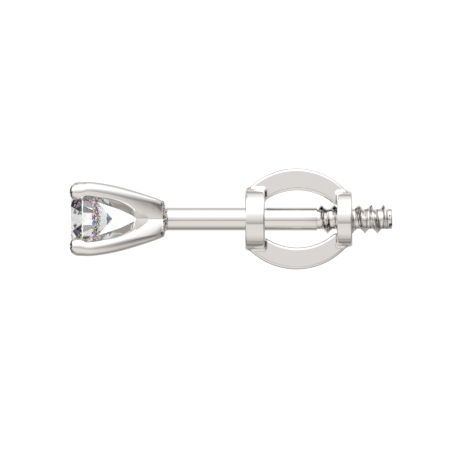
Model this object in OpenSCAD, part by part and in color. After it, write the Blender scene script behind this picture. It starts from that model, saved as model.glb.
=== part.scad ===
// A stud earring: one round brilliant in a four-claw setting on a straight post with a
// threaded end, and the screw nut that holds it on the ear.
// Lengths are in millimetres. The earring lies on its side, as it comes to rest on a table:
// two claws and the rim of the nut's rear disc touch z = 0, the stone is at -X, the post's
// free end is at +X and the nut's flat ring lies level.

/* [Stone] */
// Diameter of the stone across its girdle
stone_d = 3.0; // [2:0.1:5]
// Table width across its corners, as a share of the diameter
table_share = 0.55; // [0.5:0.01:0.65]
// Slope of the eight crown mains, degrees
crown_angle = 35; // [30:0.5:40]
// Slope of the eight pavilion mains, degrees
pavilion_angle = 40.5; // [38:0.5:43]
// Height of the girdle band
girdle_t = 0.048; // [0.02:0.002:0.15]
// How far the table stands behind the tips of the claws
table_inset = 0.056; // [0:0.002:0.3]
// Space left between the stone and the claws
stone_gap = 0.02; // [0.01:0.005:0.05]

/* [Setting] */
// Distance from the axis to the floor of the groove in each side of the base
groove_r = 0.696; // [0.6:0.005:0.8]
// Radius of the rounded bead at the end of each claw
bead_r = 0.405; // [0.3:0.005:0.5]
// Length of the dome on each bead
dome_len = 0.387; // [0.2:0.005:0.5]
// Narrowest half-width of a claw, at its inner edge
claw_inner_w = 0.065; // [0.03:0.005:0.15]

/* [Post] */
// Diameter of the plain post
post_d = 1.0; // [0.7:0.01:1.2]
// Length from the claw tips to the free end of the post
total_len = 14.04; // [11:0.01:18]
// Where the plain post ends and the thread begins, from the claw tips
thread_start = 10.762; // [8:0.01:14]
// Core diameter of the thread
thread_core_d = 0.874; // [0.6:0.01:1.1]
// Crest diameter of the thread
thread_crest_d = 1.27; // [0.9:0.01:1.5]
// Pitch of the thread
pitch = 0.54; // [0.3:0.01:0.8]
// Plain length left at the free end
stub_len = 0.3; // [0.1:0.01:0.6]

/* [Nut] */
// Where the nut's front disc starts, from the claw tips
nut_at = 7.643; // [6.6:0.01:8]
// Radius of the front disc, which lies on the ear lobe
front_disc_r = 1.335; // [1:0.005:2]
// Thickness of the front disc
front_disc_t = 0.848; // [0.4:0.005:1.2]
// Radius of the rear disc
rear_disc_r = 1.2; // [1:0.005:2]
// Thickness of the rear disc
rear_disc_t = 0.666; // [0.4:0.005:1.2]
// Distance from the front of the front disc to the front of the rear disc
disc_spacing = 3.989; // [3:0.005:5]
// Rounding of the disc rims
disc_edge = 0.08; // [0.03:0.005:0.15]
// Running clearance between the thread's crest and the bores
bore_clearance = 0.035; // [0.02:0.005:0.08]
// Reach of the flat ring from the axis
ring_reach = 2.199; // [1.6:0.005:3]
// Radius of the ring's outer arcs
ring_outer_arc = 2.932; // [2.5:0.005:4]
// Reach of the ring's opening from the axis
opening_reach = 1.244; // [0.8:0.005:2]
// Radius of the arcs of the opening
ring_inner_arc = 2.436; // [2:0.005:4]
// Thickness of the flat ring
ring_t = 0.61; // [0.3:0.01:1]
// Rounding of the ring's edges
ring_edge = 0.12; // [0.05:0.005:0.2]

/* [Hidden] */
$fn = 96;

stone_r = stone_d / 2;
g = stone_d / 3;
crown_base = table_inset + (stone_r - stone_r * table_share) * tan(crown_angle);
pavilion_base = crown_base + girdle_t;
culet_at = pavilion_base + stone_r * tan(pavilion_angle);

// Stations along the setting for a 3 mm stone, from the claw tips to the base:
// station, half-width of the outline, corner radius, outer edge of the notch, its crease,
// half-width of the see-through opening, and the share of the rounded bead in the section.
CLAW = [
    // station, half,  corner, edge,  crease, open,  bead
    [0.387, 1.610, 0.405, 0.900, 0.880, 0.840, 1.00],
    [0.461, 1.612, 0.405, 0.960, 0.940, 0.840, 1.00],
    [0.522, 1.614, 0.400, 1.010, 0.990, 0.840, 0.80],
    [0.583, 1.616, 0.391, 1.030, 1.010, 0.840, 0.55],
    [0.661, 1.618, 0.374, 1.040, 1.020, 0.835, 0.25],
    [0.757, 1.622, 0.357, 1.035, 1.018, 0.835, 0.00],
    [0.866, 1.622, 0.352, 1.030, 1.013, 0.818, 0.00],
    [1.018, 1.609, 0.352, 1.017, 1.000, 0.783, 0.00],
    [1.235, 1.583, 0.357, 0.987, 0.970, 0.722, 0.00],
    [1.453, 1.553, 0.361, 0.944, 0.927, 0.652, 0.00],
    [1.670, 1.522, 0.365, 0.922, 0.905, 0.579, 0.00],
    [1.888, 1.479, 0.370, 0.887, 0.870, 0.505, 0.00],
    [2.105, 1.427, 0.370, 0.828, 0.809, 0.431, 0.00],
    [2.279, 1.383, 0.370, 0.770, 0.740, 0.361, 0.00],
    [2.453, 1.338, 0.365, 0.700, 0.644, 0.278, 0.00],
    [2.606, 1.294, 0.357, 0.626, 0.552, 0.209, 0.00],
    [2.714, 1.264, 0.350, 0.581, 0.474, 0.157, 0.00],
    [2.801, 1.238, 0.344, 0.546, 0.370, 0.096, 0.00],
    [2.858, 1.218, 0.339, 0.522, 0.217, 0.052, 0.00]
];

// Stations along the solid base, from the point where the claws part to the end face:
// station, half-width of the outline, corner radius, outer edge of the notch, share of size.
BASE = [
    // station, half,  corner, edge, size
    [2.901, 1.205, 0.335, 0.496, 1.00],
    [3.019, 1.168, 0.322, 0.426, 1.00],
    [3.158, 1.122, 0.307, 0.322, 1.00],
    [3.302, 1.077, 0.289, 0.200, 1.00],
    [3.419, 1.037, 0.276, 0.052, 1.00],
    [3.584, 0.981, 0.259, 0.052, 1.00],
    [3.758, 0.922, 0.239, 0.052, 1.00],
    [3.932, 0.853, 0.218, 0.052, 1.00],
    [4.076, 0.783, 0.200, 0.052, 1.00],
    [4.115, 0.766, 0.200, 0.052, 0.965],
    [4.145, 0.752, 0.200, 0.052, 0.90]
];
nose_at = 3.45;
base_end = 4.145 * g;

// Point of a section in claw lane j: p runs out from the axis along the claw, q across it.
function lane(j) = 45 + 90 * j;
function place(s, j, pq) = [
    s,
    pq[0] * cos(lane(j)) - pq[1] * sin(lane(j)),
    pq[0] * sin(lane(j)) + pq[1] * cos(lane(j))
];
// The same point given as seen from the side: across from the centre line, and depth.
function side(across, depth) = [(across + depth) / sqrt(2), (depth - across) / sqrt(2)];
function on_circle(centre, r, a) = [centre + r * cos(a), r * sin(a)];

// Slope of a line from the groove's floor that is tangent to the corner's circle.
function groove_tilt(c, r) = atan2(c - groove_r, c) + asin(r / norm([c, c - groove_r]));

// Where the faceted stone's side stands along a claw's lane at one station.
function stone_side(s) =
    s < crown_base ? stone_r - (crown_base - s) / tan(crown_angle)
    : s > pavilion_base ? stone_r - (s - pavilion_base) / tan(pavilion_angle)
    : stone_r;
function clear_of_stone(s, pq) =
    let (
        flat = stone_side(s) + stone_gap,
        round_r = stone_r + stone_gap,
        across = sqrt(max(0, round_r * round_r - pq[1] * pq[1]))
    )
    [max(pq[0], min(flat, across)), pq[1]];

// Outer arc of a section, then its outer edge, as half of a lane.
function outer_half(half, r, edge, tilt) =
    let (
        c = half - r,
        centre = c * sqrt(2),
        arc_across = c - r * sin(tilt),
        arc_depth = c + r * cos(tilt),
        across = min(edge, arc_across - 0.006)
    )
    concat(
        [for (a = [0, 22.5, 45, 45 + tilt / 2, 45 + tilt]) on_circle(centre, r, a)],
        [side(across, arc_depth - (arc_across - across) * tan(tilt))]
    );

// Half of a claw's section: outer arc, edge, crease, inner corner and inner middle.
function claw_half(half, r, edge, crease, open, bead) =
    let (
        c = half - r,
        centre = c * sqrt(2),
        wedge_tilt = min(groove_tilt(c, r), asin(min(1, (c - crease - 0.012) / r))),
        tilt = bead * 40 + (1 - bead) * wedge_tilt,
        outer = outer_half(half, r, edge, tilt),
        wedge_out = outer_half(half, r, edge, wedge_tilt)[5],
        edge_across = (wedge_out[0] - wedge_out[1]) / sqrt(2),
        edge_depth = (wedge_out[0] + wedge_out[1]) / sqrt(2),
        crease_across = min(crease, edge_across - 0.006),
        crease_pt = side(crease_across, edge_depth - (edge_across - crease_across)),
        inner_pt = side(open, open + claw_inner_w * sqrt(2)),
        mid_pt = [norm(inner_pt), 0],
        bead_pts = [for (a = [105, 130, 157, 180]) on_circle(centre, r, a)],
        wedge_pts = [wedge_out, crease_pt, inner_pt, mid_pt]
    )
    concat(
        [for (i = [0 : 4]) outer[i]],
        [for (i = [0 : 3]) bead * bead_pts[i] + (1 - bead) * wedge_pts[i]]
    );

// A closed claw section from its half: 9 points on one side, 7 mirrored.
function claw_ring(s, j, half_pts) =
    let (clear = [for (p = half_pts) clear_of_stone(s, p)])
    concat(
        [for (p = clear) place(s, j, p)],
        [for (i = [7 : -1 : 1]) place(s, j, [clear[i][0], -clear[i][1]])]
    );

// The domed tip: the bead's circle shrinks about its centre along a quarter of an ellipse.
DOME = [86, 72, 58, 40, 20];
function dome_half(u) =
    let (
        lean = 0.025 * sin(u),
        c = (CLAW[0][1] - bead_r - lean) * g,
        r = bead_r * cos(u) * g
    )
    [for (a = [0, 22.5, 45, 65, 85, 105, 130, 157, 180]) on_circle(c * sqrt(2), r, a)];

function claw_rings(j) = concat(
    [for (u = DOME) claw_ring(dome_len * g * (1 - sin(u)), j, dome_half(u))],
    [for (row = CLAW) claw_ring(
        row[0] * g, j,
        claw_half(row[1] * g, row[2] * g, row[3] * g, row[4] * g, row[5] * g, row[6])
    )]
);

// One ring round the solid base: 11 points a lobe and the floor of the groove after each.
function base_ring(row) =
    let (
        s = row[0] * g,
        half = row[1] * g,
        r = row[2] * g,
        tilt = groove_tilt(half - r, r),
        pts = outer_half(half, r, row[3] * g, tilt),
        edge_across = (pts[5][0] - pts[5][1]) / sqrt(2),
        edge_depth = (pts[5][0] + pts[5][1]) / sqrt(2),
        floor_depth = edge_depth - edge_across * (row[0] < nose_at ? 1 : tan(tilt)),
        lobe = concat(
            [for (i = [5 : -1 : 1]) [pts[i][0], -pts[i][1]]],
            pts,
            [side(0, floor_depth)]
        )
    )
    [for (j = [0 : 3]) for (p = lobe) place(s, j, p * row[4])];

BASE_N = 48;
CLAW_N = 16;
CLAW_RINGS = len(DOME) + len(CLAW);
part_at = BASE[0][0] * g;
inner_w = claw_inner_w * sqrt(2);

base_pts = [for (row = BASE) for (p = base_ring(row)) p];
throat_pts = concat(
    [for (j = [0 : 3]) place(part_at, j, side(0, inner_w))],
    [for (j = [0 : 3]) place(part_at, j, [inner_w * 1.15, 0])]
);
throat_0 = len(base_pts);
claw_0 = throat_0 + 8;
claw_pts = [for (j = [0 : 3]) for (ring = claw_rings(j)) for (p = ring) p];

// The ring where claw j joins the base, in the order of a claw section.
function join_ring(j) =
    let (b = j * 12, prev = ((j + 3) % 4) * 12)
    [
        b + 5, b + 6, b + 7, b + 8, b + 9, b + 10, b + 11,
        throat_0 + j, throat_0 + 4 + j, throat_0 + (j + 3) % 4,
        prev + 11, b, b + 1, b + 2, b + 3, b + 4
    ];
function claw_id(j, k, i) = claw_0 + (j * CLAW_RINGS + k) * CLAW_N + i;
function claw_row(j, k) =
    k < CLAW_RINGS ? [for (i = [0 : CLAW_N - 1]) claw_id(j, k, i)] : join_ring(j);
// Two triangles for each cell between two rings that run the same way round.
function skin(a, b, n) = [
    for (i = [0 : n - 1])
        let (k = (i + 1) % n)
        for (t = [[a[i], b[i], b[k]], [a[i], b[k], a[k]]]) t
];
function base_row(i) = [for (k = [0 : BASE_N - 1]) i * BASE_N + k];

module setting_body() {
    last = len(BASE) - 1;
    faces = concat(
        [for (j = [0 : 3]) for (k = [0 : CLAW_RINGS - 1])
            for (t = skin(claw_row(j, k), claw_row(j, k + 1), CLAW_N)) t],
        [for (j = [0 : 3]) let (c = claw_row(j, 0))
            for (i = [1 : CLAW_N - 2]) [c[0], c[i], c[i + 1]]],
        [for (i = [0 : last - 1])
            for (t = skin(base_row(i), base_row(i + 1), BASE_N)) t],
        [for (i = [1 : BASE_N - 2])
            [last * BASE_N, last * BASE_N + i + 1, last * BASE_N + i]],
        [for (t = [[4, 0, 5], [5, 1, 6], [6, 2, 7], [7, 3, 4], [4, 5, 6], [4, 6, 7]])
            [throat_0 + t[0], throat_0 + t[1], throat_0 + t[2]]]
    );
    polyhedron(points = concat(base_pts, throat_pts, claw_pts), faces = faces, convexity = 8);
}

// The post, with the small solder fillet where it leaves the base.
module plain_post() {
    r = post_d / 2;
    rotate([0, 90, 0])
        rotate_extrude()
            polygon([
                [0, base_end - 0.6],
                [r * 0.8, base_end - 0.6],
                [r * 0.8, base_end - 0.05],
                [r + 0.09, base_end - 0.05],
                [r + 0.09, base_end + 0.005],
                [r + 0.05, base_end + 0.03],
                [r + 0.02, base_end + 0.065],
                [r, base_end + 0.12],
                [r, thread_start - 0.02],
                [r - 0.02, thread_start],
                [0, thread_start]
            ]);
}

// The threaded end: rings a twelfth of a pitch apart, so that every crest point is a corner.
TURN_N = 12;
crest_at = thread_start + 0.196;
ring_step = pitch / TURN_N;
thread_end = total_len - stub_len;
thread_ring_n = floor((total_len - 0.09 - thread_start) / ring_step);
flank_w = pitch * 0.4;
function ridge(s, a) =
    let (
        turn = (s - crest_at) / pitch - a / 360,
        off = abs(turn - round(turn)) * pitch,
        fade_in = min(1, max(0, (s - thread_start) / 0.14)),
        fade_out = min(1, max(0, (thread_end + 0.12 - s) / 0.2)),
        height = pow(max(0, 1 - off / flank_w), 1.5)
    )
    height * fade_in * fade_out;
function thread_r(s, a) =
    thread_core_d / 2 + (thread_crest_d - thread_core_d) / 2 * ridge(s, a);
function round_ring(s, r) = [
    for (i = [0 : TURN_N - 1])
        let (a = i * 360 / TURN_N)
        [s, r * cos(a), r * sin(a)]
];

module threaded_end() {
    core = thread_core_d / 2;
    first = crest_at - round(0.196 / ring_step) * ring_step;
    rings = concat(
        [round_ring(thread_start - 0.1, core - 0.02)],
        [round_ring(thread_start - 0.05, core)],
        [for (k = [1 : thread_ring_n])
            let (s = first + k * ring_step)
            [for (i = [0 : TURN_N - 1])
                let (a = i * 360 / TURN_N, r = thread_r(s, a))
                [s, r * cos(a), r * sin(a)]]],
        [round_ring(total_len - 0.06, core)],
        [round_ring(total_len - 0.02, core - 0.02)],
        [round_ring(total_len, core - 0.07)]
    );
    n = len(rings);
    row = [for (k = [0 : n - 1]) [for (i = [0 : TURN_N - 1]) k * TURN_N + i]];
    faces = concat(
        [for (k = [0 : n - 2]) for (i = [0 : TURN_N - 1])
            let (m = (i + 1) % TURN_N)
            for (t = [[row[k][i], row[k + 1][i], row[k + 1][m]],
                      [row[k][i], row[k + 1][m], row[k][m]]]) t],
        [for (i = [1 : TURN_N - 2]) [row[0][0], row[0][i], row[0][i + 1]]],
        [for (i = [1 : TURN_N - 2]) [row[n - 1][0], row[n - 1][i + 1], row[n - 1][i]]]
    );
    polyhedron(points = [for (ring = rings) for (p = ring) p], faces = faces, convexity = 10);
}

// The round brilliant: table, 8 stars, 8 crown mains, 16 upper halves, a girdle band,
// 16 lower halves and 8 pavilion mains that meet in the culet.
module brilliant() {
    star_r = stone_r * 0.77;
    lower_r = stone_r * 0.25;
    star_s = crown_base - (stone_r - star_r * cos(22.5)) * tan(crown_angle);
    lower_s = pavilion_base + (stone_r - lower_r * cos(22.5)) * tan(pavilion_angle);
    function at(s, r, a) = [s, r * cos(a), r * sin(a)];
    pts = concat(
        [for (k = [0 : 7]) at(table_inset, stone_r * table_share, 45 * k)],
        [for (k = [0 : 7]) at(star_s, star_r, 45 * k + 22.5)],
        [for (k = [0 : 15]) at(crown_base, stone_r, 22.5 * k)],
        [for (k = [0 : 15]) at(pavilion_base, stone_r, 22.5 * k)],
        [for (k = [0 : 7]) at(lower_s, lower_r, 45 * k + 22.5)],
        [[culet_at, 0, 0]]
    );
    faces = concat(
        [[for (k = [0 : 7]) k]],
        [for (k = [0 : 7]) [k, 8 + k, (k + 1) % 8]],
        [for (k = [0 : 7]) [k, 8 + (k + 7) % 8, 16 + 2 * k, 8 + k]],
        [for (k = [0 : 7]) [8 + k, 16 + 2 * k, 17 + 2 * k]],
        [for (k = [0 : 7]) [8 + k, 17 + 2 * k, 16 + (2 * k + 2) % 16]],
        [for (k = [0 : 15]) [16 + k, 32 + k, 32 + (k + 1) % 16, 16 + (k + 1) % 16]],
        [for (k = [0 : 7]) [32 + 2 * k, 48 + k, 33 + 2 * k]],
        [for (k = [0 : 7]) [33 + 2 * k, 48 + k, 32 + (2 * k + 2) % 16]],
        [for (k = [0 : 7]) [32 + 2 * k, 48 + (k + 7) % 8, 56, 48 + k]]
    );
    polyhedron(points = pts, faces = faces, convexity = 2);
}

// A disc of the nut with a rounded rim, its front face at x = 0.
module rim_disc(r, t) {
    rotate([0, 90, 0])
        rotate_extrude() {
            square([r - disc_edge, t]);
            translate([0, disc_edge])
                square([r, t - 2 * disc_edge]);
            for (z = [disc_edge, t - disc_edge])
                translate([r - disc_edge, z])
                    circle(disc_edge);
        }
}

// Outer side of one leg of the flat ring: part of a round plate with rounded edges.
module outer_plate() {
    h = ring_t / 2;
    rotate_extrude() {
        translate([0, -h])
            square([ring_outer_arc - ring_edge, ring_t]);
        translate([0, -h + ring_edge])
            square([ring_outer_arc, ring_t - 2 * ring_edge]);
        for (z = [-h + ring_edge, h - ring_edge])
            translate([ring_outer_arc - ring_edge, z])
                circle(ring_edge);
    }
}

// Inner side of one leg: a round frame with rounded inner edges, a little thicker.
module inner_frame() {
    h = ring_t / 2 + 0.005;
    rotate_extrude() {
        translate([ring_inner_arc + ring_edge, -h])
            square([3, 2 * h]);
        translate([ring_inner_arc, -h + ring_edge])
            square([3, 2 * (h - ring_edge)]);
        for (z = [-h + ring_edge, h - ring_edge])
            translate([ring_inner_arc + ring_edge, z])
                circle(ring_edge);
    }
}

module ring_leg() {
    middle = disc_spacing - 1.766;
    intersection() {
        translate([middle, ring_reach - ring_outer_arc, 0])
            outer_plate();
        translate([middle + 0.039, opening_reach - ring_inner_arc, 0])
            inner_frame();
        translate([0.1, 0.3, -1])
            cube([disc_spacing + rear_disc_t - 0.2, 3, 2]);
    }
}

// Tilt that lays the head's claws and the rear disc's rim on the table.
head_r = 1.622 * g;
head_at = 0.81 * g;
rim_at = nut_at + disc_spacing + rear_disc_t - disc_edge;
tilt = atan((head_r - rear_disc_r) / (rim_at - head_at));
lift = head_at * sin(tilt) + head_r * cos(tilt);
tip_depth = (CLAW[0][1] - bead_r - 0.02) * g;
mid_x = ((total_len * cos(tilt) + (thread_core_d / 2 - 0.05) * sin(tilt))
    - tip_depth * sin(tilt) - 0.0003) / 2;

module at_rest() {
    translate([-mid_x, 0, lift])
        rotate([0, tilt, 0])
            children();
}

module stone() {
    color([0.85, 0.9, 0.95, 0.5])
        at_rest()
            brilliant();
}

module setting_post() {
    color([0.86, 0.85, 0.84])
        at_rest() {
            setting_body();
            plain_post();
            threaded_end();
        }
}

module screw_nut() {
    color([0.8, 0.79, 0.78])
        at_rest()
            translate([nut_at, 0, 0])
                difference() {
                    union() {
                        rim_disc(front_disc_r, front_disc_t);
                        translate([disc_spacing, 0, 0])
                            rim_disc(rear_disc_r, rear_disc_t);
                        ring_leg();
                        mirror([0, 1, 0])
                            ring_leg();
                    }
                    translate([-1, 0, 0])
                        rotate([0, 90, 0])
                            cylinder(h = disc_spacing + rear_disc_t + 2, r = thread_crest_d / 2 + bore_clearance);
                }
}

stone();
setting_post();
screw_nut();
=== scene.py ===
"""A stud earring: a round brilliant in a claw setting on a threaded post, with its screw nut.

Sizes in the classes are in millimetres, in the earring's own frame: s runs along the post from
the tips of the claws, y across it and z towards the viewer. Rest turns them into metres in the
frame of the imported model, where the earring lies on the floor.
"""

import logging
import math
from collections.abc import Callable, Iterator
from contextlib import contextmanager
from dataclasses import dataclass, field
from enum import Enum

import bmesh
import bpy
import numpy as np
from bpy.types import ColorRamp, Material, Node, NodeSocket, NodeTree, Object
from mathutils import Matrix

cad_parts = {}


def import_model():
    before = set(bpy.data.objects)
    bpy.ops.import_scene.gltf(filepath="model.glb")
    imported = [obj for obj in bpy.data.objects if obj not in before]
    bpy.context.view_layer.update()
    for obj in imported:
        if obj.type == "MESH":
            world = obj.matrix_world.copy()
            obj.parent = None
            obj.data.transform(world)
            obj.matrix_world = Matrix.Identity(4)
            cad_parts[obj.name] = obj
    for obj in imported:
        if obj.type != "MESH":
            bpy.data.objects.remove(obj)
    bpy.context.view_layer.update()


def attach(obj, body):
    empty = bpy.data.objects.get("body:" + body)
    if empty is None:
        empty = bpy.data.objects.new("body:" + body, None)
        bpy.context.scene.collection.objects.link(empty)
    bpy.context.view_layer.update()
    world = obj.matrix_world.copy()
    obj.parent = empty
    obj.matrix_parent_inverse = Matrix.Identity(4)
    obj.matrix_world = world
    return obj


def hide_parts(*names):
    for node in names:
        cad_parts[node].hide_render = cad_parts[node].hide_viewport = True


Triple = tuple[float, float, float]
Face = tuple[int, ...]
Value = float | NodeSocket

MM = 0.001
MICRON = 1e-6
WHITE = (1.0, 1.0, 1.0)
log = logging.getLogger("earring")

# how close two points of a seam are that become one, and how short an edge is that goes, in mm
WELD = 0.0002
TINY = 1e-5

# a mark fades out over this length at its ends, in mm
FADE = 0.05


class Body(Enum):
    """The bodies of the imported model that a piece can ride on."""

    EARRING = "earring"
    NUT = "nut"


class Slot(Enum):
    """The record's material slots."""

    STONE = "stone"
    METAL = "metal"
    NUT_METAL = "nut_metal"


class Kind(Enum):
    """The kinds of socket that a node group has."""

    VALUE = "NodeSocketFloat"
    COUNT = "NodeSocketInt"
    VECTOR = "NodeSocketVector"
    GEOMETRY = "NodeSocketGeometry"
    MATERIAL = "NodeSocketMaterial"


@dataclass(frozen=True)
class Rest:
    """How the earring lies on the floor: on two claws and the rim of the nut's rear disc."""

    head_r: float = 1.622
    head_at: float = 0.81
    rim_r: float = 1.2
    rim_at: float = 12.218
    mid_x: float = 7.000302

    @property
    def tilt(self) -> float:
        """The angle, in radians, by which the post dips towards its threaded end."""
        return math.atan((self.head_r - self.rim_r) / (self.rim_at - self.head_at))

    @property
    def lift(self) -> float:
        """The height of the claw tips' end of the axis above the floor."""
        return self.head_at * math.sin(self.tilt) + self.head_r * math.cos(self.tilt)

    def matrix(self) -> Matrix:
        """The turn and shift from the earring's own frame, in mm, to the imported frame, in m."""
        c, s = math.cos(self.tilt), math.sin(self.tilt)
        return Matrix(
            (
                (c * MM, 0.0, s * MM, -self.mid_x * MM),
                (0.0, MM, 0.0, 0.0),
                (-s * MM, 0.0, c * MM, self.lift * MM),
                (0.0, 0.0, 0.0, 1.0),
            )
        )


REST = Rest()


def mesh_object(name: str, points: np.ndarray, faces: list[Face]) -> Object:
    """Makes an object from points and faces and puts it in the scene.

    Args:
        name: Name of the object and its mesh.
        points: One row of three coordinates a point.
        faces: Point numbers of each face, seen anticlockwise from outside.

    Returns:
        The new object.
    """
    mesh = bpy.data.meshes.new(name)
    mesh.from_pydata([tuple(map(float, p)) for p in points], [], faces)
    mesh.validate()
    thing = bpy.data.objects.new(name, mesh)
    bpy.context.scene.collection.objects.link(thing)
    return thing


@contextmanager
def edited(thing: Object) -> Iterator[bmesh.types.BMesh]:
    """Opens an object's mesh for changes and writes them back at the end.

    Args:
        thing: The mesh object.

    Yields:
        The mesh to change.
    """
    bm = bmesh.new()
    bm.from_mesh(thing.data)
    yield bm
    bm.to_mesh(thing.data)
    bm.free()


def weld(thing: Object, distance: float, other: Object | None = None) -> None:
    """Merges the object's doubled points and drops the faces that collapse.

    Args:
        thing: The mesh object to clean.
        distance: How close two points are when they become one, in the mesh's own units.
        other: An object whose mesh goes into this one first, and which is then removed.
    """
    with edited(thing) as bm:
        if other:
            bm.from_mesh(other.data)
        bmesh.ops.remove_doubles(bm, verts=bm.verts, dist=distance)
        bmesh.ops.dissolve_degenerate(bm, edges=bm.edges, dist=TINY)
    if other:
        bpy.data.objects.remove(other)


def close_holes(thing: Object) -> int:
    """Fills every open rim of the object with one face, and says how many it had."""
    with edited(thing) as bm:
        rims = [e for e in bm.edges if e.is_boundary]
        made = bmesh.ops.holes_fill(bm, edges=rims, sides=0)["faces"] if rims else []
        bmesh.ops.recalc_face_normals(bm, faces=bm.faces)
        return len(made)


def put_at_rest(thing: Object, crease_deg: float | None) -> Object:
    """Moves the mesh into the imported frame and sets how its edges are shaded.

    Args:
        thing: A mesh object in the earring's own frame, with its object at the origin.
        crease_deg: Edges that bend more than this stay sharp, or None for flat facets.

    Returns:
        The same object.
    """
    thing.data.transform(REST.matrix())
    if crease_deg is None:
        thing.data.shade_flat()
    else:
        thing.data.shade_smooth()
        thing.data.set_sharp_from_angle(angle=math.radians(crease_deg))
    thing.data.update()
    return thing


def sharpen(thing: Object, start: float, end: float, crease_deg: float) -> None:
    """Sharpens the faint edges of one stretch of the post.

    Args:
        thing: A piece at rest on the floor.
        start: Where the stretch starts along the post, in mm.
        end: Where it ends.
        crease_deg: Edges that bend more than this become sharp.
    """
    with edited(thing) as bm:
        for edge in bm.edges:
            there = all(start < v.co.x / MM + REST.mid_x < end for v in edge.verts)
            if there and edge.calc_face_angle(0.0) > math.radians(crease_deg):
                edge.smooth = False


def smooth_rows(rows: np.ndarray, at: np.ndarray) -> np.ndarray:
    """Reads a table between its rows along a monotone cubic, column by column.

    Args:
        rows: The table, with the station in its first column.
        at: The stations to read it at.

    Returns:
        One row for each station, without the station itself.
    """
    x, y = rows[:, 0], rows[:, 1:]
    h = np.diff(x)[:, None]
    rise = np.diff(y, axis=0) / h
    slope = np.zeros_like(y)
    slope[0], slope[-1] = rise[0], rise[-1]
    w1, w2 = 2 * h[1:] + h[:-1], h[1:] + 2 * h[:-1]
    same = rise[:-1] * rise[1:] > 0
    safe = np.where(same, rise[:-1], 1.0), np.where(same, rise[1:], 1.0)
    slope[1:-1] = np.where(same, (w1 + w2) / (w1 / safe[0] + w2 / safe[1]), 0.0)
    i = np.clip(np.searchsorted(x, at) - 1, 0, len(x) - 2)
    t = ((at - x[i]) / np.diff(x)[i])[:, None]
    step = h[i]
    return (
        (2 * t**3 - 3 * t**2 + 1) * y[i]
        + (t**3 - 2 * t**2 + t) * step * slope[i]
        + (3 * t**2 - 2 * t**3) * y[i + 1]
        + (t**3 - t**2) * step * slope[i + 1]
    )


# node helpers


def feed(tree: NodeTree, node: Node, inputs: dict[str | int, object]) -> None:
    """Gives a node's inputs their links and plain values.

    Args:
        tree: The node's tree.
        node: The node.
        inputs: An output socket or a plain value for each input, by its name or number.
    """
    for key, value in inputs.items():
        if isinstance(value, NodeSocket):
            tree.links.new(value, node.inputs[key])
        else:
            node.inputs[key].default_value = value


def add_node(
    tree: NodeTree, kind: str, inputs: dict[str | int, object] | None = None, **settings: object
) -> Node:
    """Adds a node to a tree.

    Args:
        tree: The shader or geometry tree.
        kind: The node's type.
        inputs: An output socket or a plain value for each input that isn't left as it is.
        settings: The node's own settings, which come before its inputs.

    Returns:
        The node.
    """
    node = tree.nodes.new(kind)
    for name, value in settings.items():
        setattr(node, name, value)
    feed(tree, node, inputs or {})
    return node


def math_node(tree: NodeTree, operation: str, *values: Value, clamp: bool = False) -> NodeSocket:
    """Adds a Math node.

    Args:
        tree: The shader or geometry tree.
        operation: The node's operation.
        values: A number or an output socket for each input.
        clamp: Whether the result is kept between 0 and 1.

    Returns:
        The node's output.
    """
    inputs = dict(enumerate(values))
    return add_node(tree, "ShaderNodeMath", inputs, operation=operation, use_clamp=clamp).outputs[0]


def dot_node(tree: NodeTree, vector: NodeSocket, axis: Triple) -> NodeSocket:
    """Adds a node that gives the part of a vector along an axis."""
    inputs = {0: vector, 1: axis}
    return add_node(tree, "ShaderNodeVectorMath", inputs, operation="DOT_PRODUCT").outputs["Value"]


def mix_node(tree: NodeTree, share: NodeSocket, a: Triple | NodeSocket, b: Triple | NodeSocket) -> NodeSocket:
    """Adds a node that mixes two colours.

    Args:
        tree: The material's tree.
        share: How much of the second colour there is.
        a: The first colour, plain or from an output socket.
        b: The second colour.

    Returns:
        The mixed colour.
    """
    a, b = (c if isinstance(c, NodeSocket) else (*c, 1.0) for c in (a, b))
    inputs = {"Factor": share, "A": a, "B": b}
    return add_node(tree, "ShaderNodeMix", inputs, data_type="RGBA").outputs["Result"]


def soft_range(tree: NodeTree, value: NodeSocket, start: float, end: float) -> NodeSocket:
    """Adds a mask of a range of a value in mm, with soft ends."""
    off = math_node(tree, "ABSOLUTE", math_node(tree, "SUBTRACT", value, (start + end) / 2))
    return math_node(tree, "MULTIPLY_ADD", off, -1 / FADE, (end - start) / 2 / FADE, clamp=True)


def place_along(tree: NodeTree, where: NodeSocket, axis: Triple, shift: float) -> NodeSocket:
    """Adds the place along one axis, in mm.

    Args:
        tree: The material's tree.
        where: The object's coordinates, in m.
        axis: The axis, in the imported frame.
        shift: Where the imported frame's origin lies on the axis.

    Returns:
        The place.
    """
    return math_node(tree, "ADD", dot_node(tree, where, tuple(a / MM for a in axis)), shift)


def across_and_up(tree: NodeTree, where: NodeSocket) -> tuple[NodeSocket, NodeSocket]:
    """Adds the places across the post and towards the viewer from its axis, in mm."""
    c, d = math.cos(REST.tilt), math.sin(REST.tilt)
    across = place_along(tree, where, (0.0, 1.0, 0.0), 0.0)
    return across, place_along(tree, where, (d, 0.0, c), REST.mid_x * d - REST.lift * c)


def fill_ramp(ramp: ColorRamp, stops: list[tuple[float, Triple]]) -> None:
    """Gives a new colour ramp its stops.

    Args:
        ramp: The ramp.
        stops: The position and the colour of each stop, in rising order.
    """
    while len(ramp.elements) < len(stops):
        ramp.elements.new(0.5)
    for stop, (position, colour) in zip(ramp.elements, stops):
        stop.position = position
        stop.color = (*colour, 1.0)


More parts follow.
